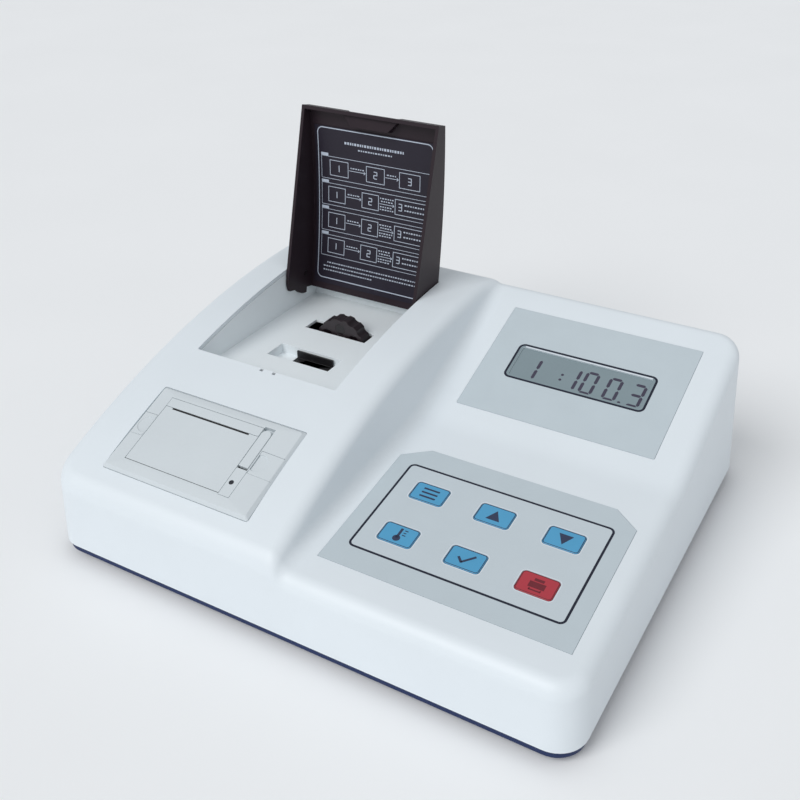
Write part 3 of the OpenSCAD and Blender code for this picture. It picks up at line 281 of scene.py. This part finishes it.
def frame_ring(name, at, outer, inner, z0, z1, mat, body="housing", **more):
    """A closed line between two outlines that have the same number of points."""
    n = len(outer)
    verts = [at @ Vector((x, y, z)) for z in (z0, z1) for ring in (outer, inner) for x, y in ring]
    faces = []
    for k in range(n):
        m = (k + 1) % n
        faces += [(2 * n + k, 2 * n + m, 3 * n + m, 3 * n + k), (k, m, 2 * n + m, 2 * n + k),
                  (n + m, n + k, 3 * n + k, 3 * n + m), (m, k, n + k, n + m)]
    return put(name, verts, faces, mat, body, **more)


def cutter(at, outline, z0, z1):
    n = len(outline)
    verts = [at @ Vector((x, y, z)) * MM for z in (z0, z1) for x, y in outline]
    faces = [tuple(reversed(range(n))), tuple(range(n, 2 * n))] + ring_faces(n, 0, n)
    mesh = bpy.data.meshes.new("cutter")
    mesh.from_pydata(verts, [], faces)
    obj = bpy.data.objects.new("cutter", mesh)
    bpy.context.scene.collection.objects.link(obj)
    return obj


def cut(obj, cutters):
    """Takes each cutter out of the piece, and then deletes the cutter."""
    for tool in cutters:
        mod = obj.modifiers.new("cut", "BOOLEAN")
        mod.operation = "DIFFERENCE"
        mod.solver = "MANIFOLD"
        mod.object = tool
        with bpy.context.temp_override(object=obj, active_object=obj):
            bpy.ops.object.modifier_apply(modifier=mod.name)
        bpy.data.objects.remove(tool, do_unlink=True)


# Top cover: the same form as in the CAD source, with finer rounds
def crease_rise(t):
    """0 in front of the crease and t behind it, with a soft change between."""
    if t <= -CREASE_SOFT:
        return 0
    return t if t >= CREASE_SOFT else (t + CREASE_SOFT) ** 2 / (4 * CREASE_SOFT)


def face_z(y):
    bend = tan(DISPLAY_TILT) - tan(KEYPAD_TILT)
    return FACE_Z + tan(KEYPAD_TILT) * (y - FACE_Y) + bend * crease_rise(y - CREASE_Y)


def arc_z(y):
    fall = max(0.0, y - CREST_Y + REAR_FALL_AT)
    return CREST_Z - ARC_R + math.sqrt(ARC_R ** 2 - (CREST_Y - y) ** 2) - fall ** 2 / (2 * REAR_FALL_R)


LEAST_STEP = 0.8


def step_h(y):
    """How far the raised side stands above the sloping faces."""
    return max(arc_z(y) - face_z(y), LEAST_STEP)


def hump_z(y):
    return face_z(y) + step_h(y)


def blend(y):
    """The angle of the blended wall and its length in X."""
    h = step_h(y)
    straight = max(h * 0.1, h - 2 * BLEND_R * (1 - cos(BLEND_ANGLE)))
    turn = math.degrees(math.acos(1 - (h - straight) / (2 * BLEND_R)))
    return turn, 2 * BLEND_R * sin(turn) + straight / tan(turn)


def side_in(z):
    return tan(SIDE_DRAFT) * (z - COVER_Z)


# Steps of the mesh: across the raised side, its two bends and the faces; along Y; round the corners
ARC_N, LEFT_N, RIGHT_N, ROW_N, TURN_N, EDGE_N = 10, 34, 34, 130, 12, 10
COL_N = LEFT_N + 2 * (ARC_N + 1) + RIGHT_N
OUTER_STEPS, INNER_STEPS = 6, 2
FRONT_TOP = FRONT + side_in(FACE_Z)
REAR_TOP = REAR - tan(REAR_LEAN) * (CREST_Z - COVER_Z) * REAR_SHARE


def column(j, y, shift):
    """X and Z of column j of the top surface at y."""
    turn, length = blend(y)
    x_first = LEFT + side_in(hump_z(y)) + CORNER_R
    x_last = RIGHT - side_in(face_z(y)) - CORNER_R
    x_up = HUMP_X - length / 2 - shift
    x_down = x_up + length
    k = j - LEFT_N
    m = k - ARC_N - 1
    if k < 0:
        return x_first + (x_up - x_first) * j / LEFT_N, hump_z(y)
    if k <= ARC_N:
        a = turn * k / ARC_N
        return x_up + BLEND_R * sin(a), hump_z(y) - BLEND_R * (1 - cos(a))
    if m <= ARC_N:
        a = turn * (1 - m / ARC_N)
        return x_down - BLEND_R * sin(a), face_z(y) + BLEND_R * (1 - cos(a))
    return x_down + (x_last - x_down) * (m - ARC_N) / RIGHT_N, face_z(y)


def front_line(q):
    return FRONT + (FRONT_TOP - FRONT) * q


def rear_line(q):
    return REAR + (REAR_TOP - REAR) * q


def row_y(i, q):
    first = front_line(q) + CORNER_R
    last = rear_line(q) - CORNER_R
    return first + (last - first) * i / (ROW_N - 1)


def side_x(y, d, q, side):
    if side > 0:
        return RIGHT - q * side_in(face_z(y)) - d
    return LEFT + q * side_in(hump_z(y)) + d


def ring(q, d, drop, shift):
    """The cover's outline: q is 0 at its foot and 1 at its top, d is how far it lies inside."""
    points = []

    def add(x, y, z):
        points.append((x, y, COVER_Z if q == 0 else z - drop))

    def row(y, y_corner, order):
        for j in order:
            x, z = column(j, y, shift)
            if j in (0, COL_N - 1):
                x = side_x(y_corner, CORNER_R, q, 1 if j else -1)
            add(x, y, z)

    def corner(sx, sy, start):
        y_mid = front_line(q) + CORNER_R if sy < 0 else rear_line(q) - CORNER_R
        x_mid = side_x(y_mid, CORNER_R, q, sx)
        for m in range(1, TURN_N):
            a = start + 90 * m / TURN_N
            y = y_mid + (CORNER_R - d) * sin(a)
            add(x_mid + (CORNER_R - d) * cos(a), y, face_z(y) if sx > 0 else hump_z(y))

    def side(sx, order):
        for i in order:
            y = row_y(i, q)
            add(side_x(y, d, q, sx), y, face_z(y) if sx > 0 else hump_z(y))

    row(front_line(q) + d, front_line(q) + CORNER_R, range(COL_N))
    corner(1, -1, -90)
    side(1, range(ROW_N))
    corner(1, 1, 0)
    row(rear_line(q) - d, rear_line(q) - CORNER_R, range(COL_N - 1, -1, -1))
    corner(-1, 1, 90)
    side(-1, range(ROW_N - 1, -1, -1))
    corner(-1, -1, 180)
    return points


def grid(i, j):
    return i * COL_N + j


def border():
    """For each point of a ring, the point of the top grid that it joins."""
    last_row, last_col = ROW_N - 1, COL_N - 1
    turn = TURN_N - 1
    joins = [grid(0, j) for j in range(COL_N)] + [grid(0, last_col)] * turn
    joins += [grid(i, last_col) for i in range(ROW_N)] + [grid(last_row, last_col)] * turn
    joins += [grid(last_row, j) for j in range(last_col, -1, -1)] + [grid(last_row, 0)] * turn
    return joins + [grid(i, 0) for i in range(last_row, -1, -1)] + [grid(0, 0)] * turn


def skin(inset, upright, outward):
    """Vertices and faces of one skin of the cover, from its foot to its top."""
    joins = border()
    n = len(joins)
    r = EDGE_R - inset
    rings = [ring(0, inset, 0, inset)]
    low = ring(1, inset, inset + r, inset)
    for k in range(1, upright):
        t = k / upright
        rings.append([tuple(p + (s - p) * t for p, s in zip(a, b)) for a, b in zip(rings[0], low)])
    for k in range(EDGE_N + 1):
        a = 90 * k / EDGE_N
        rings.append(ring(1, inset + r * (1 - cos(a)), inset + r * (1 - sin(a)), inset))
    verts = [p for one in rings for p in one]
    base = len(verts)
    for i in range(ROW_N):
        y = row_y(i, 1)
        for j in range(COL_N):
            x, z = column(j, y, inset)
            verts.append((x, y, z - inset))
    faces = []
    for t in range(len(rings) - 1):
        faces += ring_faces(n, t * n, (t + 1) * n)
    last = (len(rings) - 1) * n
    for k in range(n):
        m = (k + 1) % n
        p, s = base + joins[k], base + joins[m]
        faces.append((last + k, last + m, p) if p == s else (last + k, last + m, s, p))
    for i in range(ROW_N - 1):
        for j in range(COL_N - 1):
            square = (grid(i, j), grid(i, j + 1), grid(i + 1, j + 1), grid(i + 1, j))
            faces.append(tuple(base + v for v in square))
    return verts, faces if outward else [face[::-1] for face in faces]


def make_cover():
    """Outer and inner skin, joined at the foot."""
    n = len(border())
    outer_verts, outer_faces = skin(0.0, OUTER_STEPS, True)
    inner_verts, inner_faces = skin(WALL, INNER_STEPS, False)
    start = len(outer_verts)
    faces = outer_faces + [tuple(start + v for v in face) for face in inner_faces]
    faces += [((k + 1) % n, k, start + k, start + (k + 1) % n) for k in range(n)]
    return put("cover_shell", outer_verts + inner_verts, faces, "housing_plastic")


def keypad_outline(grow):
    """The keypad film's outline, with its two cut corners at the back."""
    w = KEYPAD_W / 2 + grow
    h = KEYPAD_LEN / 2 + grow
    y = KEYPAD_FRONT + KEYPAD_LEN / 2
    cut_y = y + h - 11.3
    return [(-w, y - h), (w, y - h), (w, cut_y), (w - 15.5, y + h), (-w + 16, y + h), (-w, cut_y)]


def key_at(n):
    return (n % 3 - 1) * KEY_STEP_X, KEY_ROW_Y + (KEY_STEP_Y if n < 3 else 0)


def cover_cutters():
    """Well, printer, display film and window, keypad film, rear bay, key holes and catch notches."""
    well = rounded(WELL_W, WELL_LEN, WELL_R, WELL_X, WELL_Y0 + WELL_LEN / 2)
    window = rounded(WINDOW_W, WINDOW_LEN, 1.5, 0, WINDOW_MID)
    tools = [
        cutter(LEVEL, well, FLOOR_Z + 2, ABOVE_COVER),
        cutter(PRINTER, rounded(BEZEL_W, BEZEL_LEN, BEZEL_R, 0, BEZEL_MID), -20, 20),
        cutter(DISPLAY, rounded(DISPLAY_W, DISPLAY_LEN, 1.0, 0, DISPLAY_MID), -FILM_SINK, 3),
        cutter(DISPLAY, window, -7, 2),
        cutter(KEYPAD, keypad_outline(0.2), -FILM_SINK, 3),
        cutter(LEVEL, rounded(BAY_W, 40.0, 0.2, 0, REAR - 5), BAY_Z0, BAY_Z1),
    ]
    for n in range(len(KEYS)):
        tools.append(cutter(KEYPAD, rounded(KEY_HOLE_W, KEY_HOLE_LEN, KEY_HOLE_R, *key_at(n)), -7, 2))
    for offset in CATCH_OFFSETS:
        notch = rounded(2.2, 3.3, 0.05, WELL_X + offset, WELL_Y0 - 0.65)
        tools.append(cutter(LEVEL, notch, FLOOR_Z, ABOVE_COVER))
    return tools


cover = make_cover()
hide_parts("top_cover")
cut(cover, cover_cutters())
soften(cover, 24)


# Softened edges of the moulded pieces
EDGE_WIDTHS = {
    "sample_tray": 0.5, "recess_pan": 0.5, "cuvette_holder": 0.3, "lid": 0.5, "printer_bezel": 0.25,
    "bezel_caps": 0.2, "printer_door": 0.25, "tear_bar": 0.3, "release_lever": 0.4, "rear_panel": 0.5,
    "power_inlet": 0.4, "switch_frame": 0.4, "switch_rocker": 0.4, "rubber_feet": 0.4, "base_pan": 0.6,
    "printer_chassis": 0.3, "filter_wheel": 0.25, "display_film": 0.1, "keypad_film": 0.1,
}
BEVEL_ANGLE = 32


def trim(node, width):
    obj = frame["nodes"][node]
    for face in obj.data.polygons:
        face.use_smooth = True
    weld = obj.modifiers.new("weld", "WELD")
    weld.merge_threshold = 0.000002
    flat = obj.modifiers.new("flat", "DECIMATE")
    flat.decimate_type = "DISSOLVE"
    flat.angle_limit = math.radians(0.4)
    edge = obj.modifiers.new("edge", "BEVEL")
    edge.width = width * MM
    edge.segments = 2
    edge.limit_method = "ANGLE"
    edge.angle_limit = math.radians(BEVEL_ANGLE)
    edge.harden_normals = True
    even = obj.modifiers.new("even", "WEIGHTED_NORMAL")
    even.keep_sharp = True
    even.weight = 90


for node, width in EDGE_WIDTHS.items():
    trim(node, width)

# Painted shade: a black strip just under the paper slot, on the door, standing in for the shadow inside the
# slot
SLOT_SHADE_W, SLOT_SHADE_D, SLOT_SHADE_X, SLOT_SHADE_Y = 58.6, 1.28, -7.3, 43.15
slot_shade_outline = rounded(SLOT_SHADE_W, SLOT_SHADE_D, 0.1, SLOT_SHADE_X, SLOT_SHADE_Y, 3)
prism("slot_painted_shade", PRINTER, slot_shade_outline, -1.9, -0.35, "black_plastic", "paper_door")


# Keypad: navy line, paler field, and the keys with their printed outline and halo
LINE_T = 0.04
KEYPAD_LINE_W, KEYPAD_LINE_LEN, KEYPAD_LINE_MID, KEYPAD_LINE_T = 128.0, 73.4, 75.3, 1.4
KEY_TOP, KEY_CHAMFER = 0.45, 0.2
TILE_Z, STEM_Z = -1.6, -4.74


def line_frame(name, at, w, d, r, cy, z, thick, mat, body="housing", slot="panel_film", cx=0.0):
    """A printed line of even width round a rounded rectangle."""
    outer = rounded(w + thick, d + thick, r + thick / 2, cx, cy, 10)
    inner = rounded(w - thick, d - thick, r - thick / 2, cx, cy, 10)
    return frame_ring(name, at, outer, inner, z, z + LINE_T, mat, body, slot=slot)


def key_colors(name):
    return ("key_red", "key_red_ink") if name == "print" else ("key_blue", "key_ink")


def make_key(n, name):
    x, y = key_at(n)
    body = name + "_key"
    color, ink_color = key_colors(name)
    top = rounded(KEY_W - 2 * KEY_CHAMFER, KEY_LEN - 2 * KEY_CHAMFER, KEY_R - KEY_CHAMFER, x, y, 8)
    tile = prism("tile_" + name, KEYPAD, rounded(KEY_W, KEY_LEN, KEY_R, x, y, 8), TILE_Z, KEY_TOP, color,
                 body, chamfer=KEY_CHAMFER, shrink=top, smooth=30)
    stem = prism("stem_" + name, KEYPAD, rounded(8, 6, 1, x, y, 4), STEM_Z, TILE_Z, color, body)
    stem.parent = tile
    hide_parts("key_" + name)
    line_frame("edge_" + name, KEYPAD, KEY_W - 0.9, KEY_LEN - 0.9, 1.8, y, KEY_TOP, 0.45, ink_color, body,
               color, cx=x)
    line_frame("halo_" + name, KEYPAD, KEY_W + 1.6, KEY_LEN + 1.6, 2.9, y, FILM_UP + 0.02, 0.55,
               "white_print_and_highlight", cx=x)


line_frame("keypad_line", KEYPAD, KEYPAD_LINE_W, KEYPAD_LINE_LEN, 3.2, KEYPAD_LINE_MID, FILM_UP,
           KEYPAD_LINE_T, "ink_navy")
field_outline = rounded(KEYPAD_LINE_W - KEYPAD_LINE_T, KEYPAD_LINE_LEN - KEYPAD_LINE_T, 2.5, 0,
                        KEYPAD_LINE_MID, 10)
field = prism("keypad_field", KEYPAD, field_outline, FILM_UP + 0.005, FILM_UP + 0.03, "field",
              slot="panel_film")
cut(field, [cutter(KEYPAD, rounded(22.3, 15.4, 2.7, *key_at(n), n=8), 0, 2) for n in range(len(KEYS))])
for n, name in enumerate(KEYS):
    make_key(n, name)


# Plain signs on the keys
SIGN_SCALE = 1.22


def ink(name, at, body, shapes, z, mat, slot):
    """Flat shapes, each a convex outline, as one piece: printed marks, and on the display a painted
    highlight.
    """
    verts, faces = [], []
    for shape in shapes:
        faces.append(tuple(range(len(verts), len(verts) + len(shape))))
        verts += [at @ Vector((x, y, z)) for x, y in shape]
    return put(name, verts, faces, mat, body, slot=slot)


def bar(x0, y0, x1, y1, w):
    """A straight stroke from one point to the other."""
    d = Vector((x1 - x0, y1 - y0)).normalized() * (w / 2)
    return [(x0 - d.y, y0 + d.x), (x0 + d.y, y0 - d.x), (x1 + d.y, y1 - d.x), (x1 - d.y, y1 + d.x)]


def disc(x, y, r, n=20):
    return [(x + r * cos(360 * k / n), y + r * sin(360 * k / n)) for k in range(n)]


SIGNS = {
    "menu": [bar(-4.2, y, 4.2, y, 1.1) for y in (2.6, 0, -2.6)],
    "up": [[(-3.5, -3.0), (3.5, -3.0), (0, 3.4)]],
    "down": [[(-3.5, 3.0), (0, -3.4), (3.5, 3.0)]],
    "unit": [disc(0, -2.2, 1.9), bar(0, -2.0, 0, 4.2, 1.3), bar(1.6, 3.4, 3.4, 3.4, 0.6),
             bar(1.6, 1.9, 3.0, 1.9, 0.6), bar(1.6, 0.4, 3.4, 0.4, 0.6)],
    "ok": [bar(-3.6, 0.2, -0.9, -2.7, 1.2), bar(-1.3, -2.6, 3.9, 3.0, 1.2)],
    "print": [bar(-3.8, -0.4, 3.8, -0.4, 3.4), bar(-2.3, 2.6, 2.3, 2.6, 1.6), bar(-2.6, -3.4, 2.6, -3.4, 0.8),
              bar(-2.6, -2.4, -2.6, -3.8, 0.6), bar(2.6, -2.4, 2.6, -3.8, 0.6)],
}


def on_key(n, shapes):
    cx, cy = key_at(n)
    return [[(cx + SIGN_SCALE * x, cy + SIGN_SCALE * y) for x, y in shape] for shape in shapes]


for n, name in enumerate(KEYS):
    color, ink_color = key_colors(name)
    ink("glyph_" + name, KEYPAD, name + "_key", on_key(n, SIGNS[name]), KEY_TOP + 0.01, ink_color, color)

# Display: navy line round the window, band of glass colour, a painted highlight along the window's top edge,
# and plain digits
SHOW_X, SHOW_Y = -WINDOW_W / 2, 50.6
SEG_W, SEG_H, SEG_T, SEG_GAP, SEG_LEAN = 9.3, 19.5, 2.1, 0.28, 0.02
SEGMENTS = {"1": "bc", "0": "abcdef", "3": "abgcd"}
DIGITS = (("1", 9.9), ("1", 37.5), ("0", 49.3), ("0", 64.8), ("3", 80.2))
DOTS = ((35.6, 13.2, 0.95), (35.6, 8.8, 0.95), (76.9, 3.1, 1.05))
DIGIT_Y = 2.2
DIGIT_Z = -0.58

line_frame("display_line", DISPLAY, WINDOW_W, 29.6, 3.6, WINDOW_MID, FILM_UP, 1.5, "ink_navy")
frame_ring("display_band", DISPLAY, rounded(91.9, 28.3, 3.0, 0, WINDOW_MID, 10),
           rounded(88.7, 25.1, 1.5, 0, WINDOW_MID, 10), FILM_UP, FILM_UP + 0.02, "glass", slot="panel_film")
# Painted highlight: a white bar along the top edge of the display window
ink("display_glint", DISPLAY, "housing", [bar(-43.0, SHOW_Y + 28.0, 43.6, SHOW_Y + 28.0, 1.1)],
    FILM_UP + 0.03, "white_print_and_highlight", "panel_film")


def segment(which, x, y):
    """One of the seven strokes of a digit, named a to g in the usual order."""
    w, h = SEG_W, SEG_H
    c = SEG_T / 2
    x0, y0, x1, y1 = {
        "a": (c, h - c, w - c, h - c), "d": (c, c, w - c, c), "g": (c, h / 2, w - c, h / 2),
        "f": (c, h / 2, c, h - c), "e": (c, c, c, h / 2), "b": (w - c, h / 2, w - c, h - c),
        "c": (w - c, c, w - c, h / 2),
    }[which]
    if which in "adg":
        x0 += SEG_GAP
        x1 -= SEG_GAP
        points = [(x0, y0), (x0 + c, y0 - c), (x1 - c, y0 - c), (x1, y0), (x1 - c, y0 + c), (x0 + c, y0 + c)]
    else:
        y0 += SEG_GAP
        y1 -= SEG_GAP
        points = [(x0, y0), (x0 + c, y0 + c), (x0 + c, y1 - c), (x0, y1), (x0 - c, y1 - c), (x0 - c, y0 + c)]
    return [(x + px + SEG_LEAN * py, y + py) for px, py in points]


shapes = []
for digit, at_x in DIGITS:
    shapes += [segment(which, SHOW_X + at_x, SHOW_Y + DIGIT_Y) for which in SEGMENTS[digit]]
shapes += [disc(SHOW_X + x, SHOW_Y + y, r) for x, y, r in DOTS]
ink("display_digits", DISPLAY, "housing", shapes, DIGIT_Z, "segment", "glass")

# Print inside the lid: plain frame, numbered boxes, arrows, and dashes for fine print
SWING = (Matrix.Translation((0, PIVOT_Y, PIVOT_Z)) @ Matrix.Rotation(math.radians(-LID_OPEN), 4, "X")
         @ Matrix.Translation((0, -PIVOT_Y, -PIVOT_Z)))
PRINT_X, PRINT_Y, PRINT_W, PRINT_LEN = WELL_X - 45.6, LID_Y0 + 13.6, 91.6, 109.0
LABEL_T, PRINT_OFF = 0.6, 0.04


def lid_point(u, t):
    """A point on the film, u across it and t down from its upper edge."""
    y = PRINT_Y + t
    r = ARC_R - LID_T - LABEL_T - PRINT_OFF
    return SWING @ Vector((PRINT_X + u, y, CREST_Z - ARC_R + math.sqrt(r * r - (CREST_Y - y) ** 2)))


def lid_lines(name, strokes):
    """Strokes (from u and t, to u and t, width) that follow the film's curve, as one piece."""
    verts, faces = [], []
    for u0, t0, u1, t1, w in strokes:
        parts = max(1, int(abs(t1 - t0) / 4))
        d = Vector((u1 - u0, t1 - t0)).normalized() * (w / 2)
        base = len(verts)
        for k in range(parts + 1):
            u = u0 + (u1 - u0) * k / parts
            t = t0 + (t1 - t0) * k / parts
            verts += [lid_point(u - d.y, t + d.x), lid_point(u + d.y, t - d.x)]
        faces += [(base + 2 * k, base + 2 * k + 1, base + 2 * k + 3, base + 2 * k + 2) for k in range(parts)]
    return put(name, verts, faces, "ink_pale", "lid", slot="label_film")


def box_lines(u0, t0, u1, t1, w):
    return [(u0 - w / 2, t0, u1 + w / 2, t0, w), (u1, t0, u1, t1, w), (u1 + w / 2, t1, u0 - w / 2, t1, w),
            (u0, t1, u0, t0, w)]


def arrow(u0, u1, t, w):
    return [(u0, t, u1, t, w), (u1 - 1.3, t - 1.0, u1, t, w), (u1 - 1.3, t + 1.0, u1, t, w)]


def small_digit(k, u, t):
    """Plain stroke digits 1 to 3 for the numbered boxes."""
    h = 4.6
    w = h * 0.55
    strokes = {
        1: [(w / 2, 0, w / 2, h)],
        2: [(0, 0, w, 0), (w, 0, w, h / 2), (w, h / 2, 0, h / 2), (0, h / 2, 0, h), (0, h, w, h)],
        3: [(0, 0, w, 0), (w, 0, w, h), (0, h / 2, w, h / 2), (0, h, w, h)],
    }[k]
    return [(u - w / 2 + a, t - h / 2 + b, u - w / 2 + c, t - h / 2 + d, 0.6) for a, b, c, d in strokes]


def dashes(u0, u1, t, w, first):
    """A row of short marks, where the object carries fine print. Their lengths follow a pattern."""
    marks = []
    u = u0
    k = first
    while u < u1 - 0.8:
        length = 0.9 + 0.7 * ((k * 7) % 4) / 3
        marks.append((u, t, min(u + length, u1), t, w))
        u += length + 0.75
        k += 1
    return marks


CHART_T, CHART_STEP, CHART_ROW = 19.6, 18.9, 15.6
BOX_T0, BOX_T1, BOX_MID = 2.4, 13.0, 7.7
FIRST_ROW_BOXES = ((9.5, 24.5), (39.5, 54.0), (66.0, 82.0))
OTHER_ROW_BOXES = ((8.0, 22.0), (36.0, 49.5), (63.0, 88.5))
LONG_BOX = 2
LINE_W, BOX_W, ARROW_W = 0.35, 0.45, 0.4

outline = rounded(PRINT_W, PRINT_LEN, 4.0, PRINT_W / 2, PRINT_LEN / 2, 6)
rim = [(*outline[k], *outline[(k + 1) % len(outline)], 0.7) for k in range(len(outline))]
fine = []
marks = []
for row in range(4):
    t = CHART_T + CHART_STEP * row
    fine += [(2.4, t, PRINT_W - 0.4, t, LINE_W), (2.4, t + CHART_ROW, PRINT_W - 0.4, t + CHART_ROW, LINE_W)]
    fine.append((2.4, t, 2.4, t + CHART_ROW, LINE_W))
    marks.append((2.2, t - 1.2, 8.2, t - 1.2, 1.9))
    boxes = OTHER_ROW_BOXES if row else FIRST_ROW_BOXES
    for c, (u0, u1) in enumerate(boxes):
        fine += box_lines(u0, t + BOX_T0, u1, t + BOX_T1, BOX_W)
        if row and c == LONG_BOX:
            marks += dashes(u0 + 7.5, u1 - 1.5, t + 5.6, 1.0, row)
            marks += dashes(u0 + 7.5, u1 - 1.5, t + 9.2, 1.0, row + 3)
            fine += small_digit(c + 1, u0 + 4.0, t + 7.6)
        else:
            fine += small_digit(c + 1, (u0 + u1) / 2, t + BOX_MID)
        if c < LONG_BOX:
            end = boxes[c + 1][0]
            fine += arrow(u1 + 0.8, end - 0.8, t + BOX_MID, ARROW_W)
            marks += dashes(u1 + 2.0, end - 2.0, t + 5.8, 0.8, c + row)
        if row and c == 1:
            for down in (3.8, 9.7, 11.6):
                marks += dashes(u1 + 1.2, boxes[LONG_BOX][0] - 1.4, t + down, 0.8, int(down) + row)
marks += dashes(22.0, 70.0, 8.6, 1.7, 1) + dashes(33.0, 60.0, 12.2, 1.0, 2)
for row, (start, end) in enumerate(((8.0, PRINT_W - 6.0), (5.0, PRINT_W - 6.0), (5.0, PRINT_W - 44.0))):
    marks += dashes(start, end, 97.0 + 2.9 * row, 0.9, row)
lid_lines("lid_print_rim", rim)
lid_lines("lid_print_lines", fine)
lid_lines("lid_print_marks", marks)

# Camera
CAM_AT = Vector((0.2653, -0.4752, 0.4146))
CAM_AZ, CAM_EL, CAM_ROLL, CAM_LENS = 30.16, 31.28, -0.24, 45.3
look = Vector((-sin(CAM_AZ) * cos(CAM_EL), cos(CAM_AZ) * cos(CAM_EL), -sin(CAM_EL)))
roll = Matrix.Rotation(math.radians(CAM_ROLL), 3, "Z").to_quaternion()
cam = bpy.data.objects.new("camera", bpy.data.cameras.new("camera"))
bpy.context.scene.collection.objects.link(cam)
bpy.context.scene.camera = cam
cam.location = CAM_AT
cam.rotation_mode = "QUATERNION"
cam.rotation_quaternion = look.to_track_quat("-Z", "Y") @ roll
cam.data.lens = CAM_LENS
cam.data.sensor_width = 36.0
cam.data.clip_start = 0.01

# Light: a pale room, a soft light from the front left and a weak one from the right
world = bpy.data.worlds.new("world")
bpy.context.scene.world = world
world.use_nodes = True
background = world.node_tree.nodes["Background"]
background.inputs["Color"].default_value = (0.93, 0.965, 1.0, 1.0)
background.inputs["Strength"].default_value = 0.495


def sun(name, at, strength, spread):
    data = bpy.data.lights.new(name, "SUN")
    data.energy = strength
    data.angle = math.radians(spread)
    obj = bpy.data.objects.new(name, data)
    bpy.context.scene.collection.objects.link(obj)
    obj.location = at
    obj.rotation_mode = "QUATERNION"
    obj.rotation_quaternion = (Vector((0, 0, 0.06)) - Vector(at)).to_track_quat("-Z", "Y")


sun("window_light", (-0.35, -1.0, 1.06), 1.48, 34)
sun("room_light", (1.0, -0.35, 1.2), 0.22, 60)

# Floor
FLOOR_HALF = 6
corners = [(-1, -1), (1, -1), (1, 1), (-1, 1)]
floor_mesh = bpy.data.meshes.new("floor")
floor_mesh.from_pydata([(FLOOR_HALF * x, FLOOR_HALF * y, 0) for x, y in corners], [], [(0, 1, 2, 3)])
floor_mesh.materials.append(M["bench"])
floor = bpy.data.objects.new("floor", floor_mesh)
bpy.context.scene.collection.objects.link(floor)

bpy.context.scene.view_settings.view_transform = "Standard"
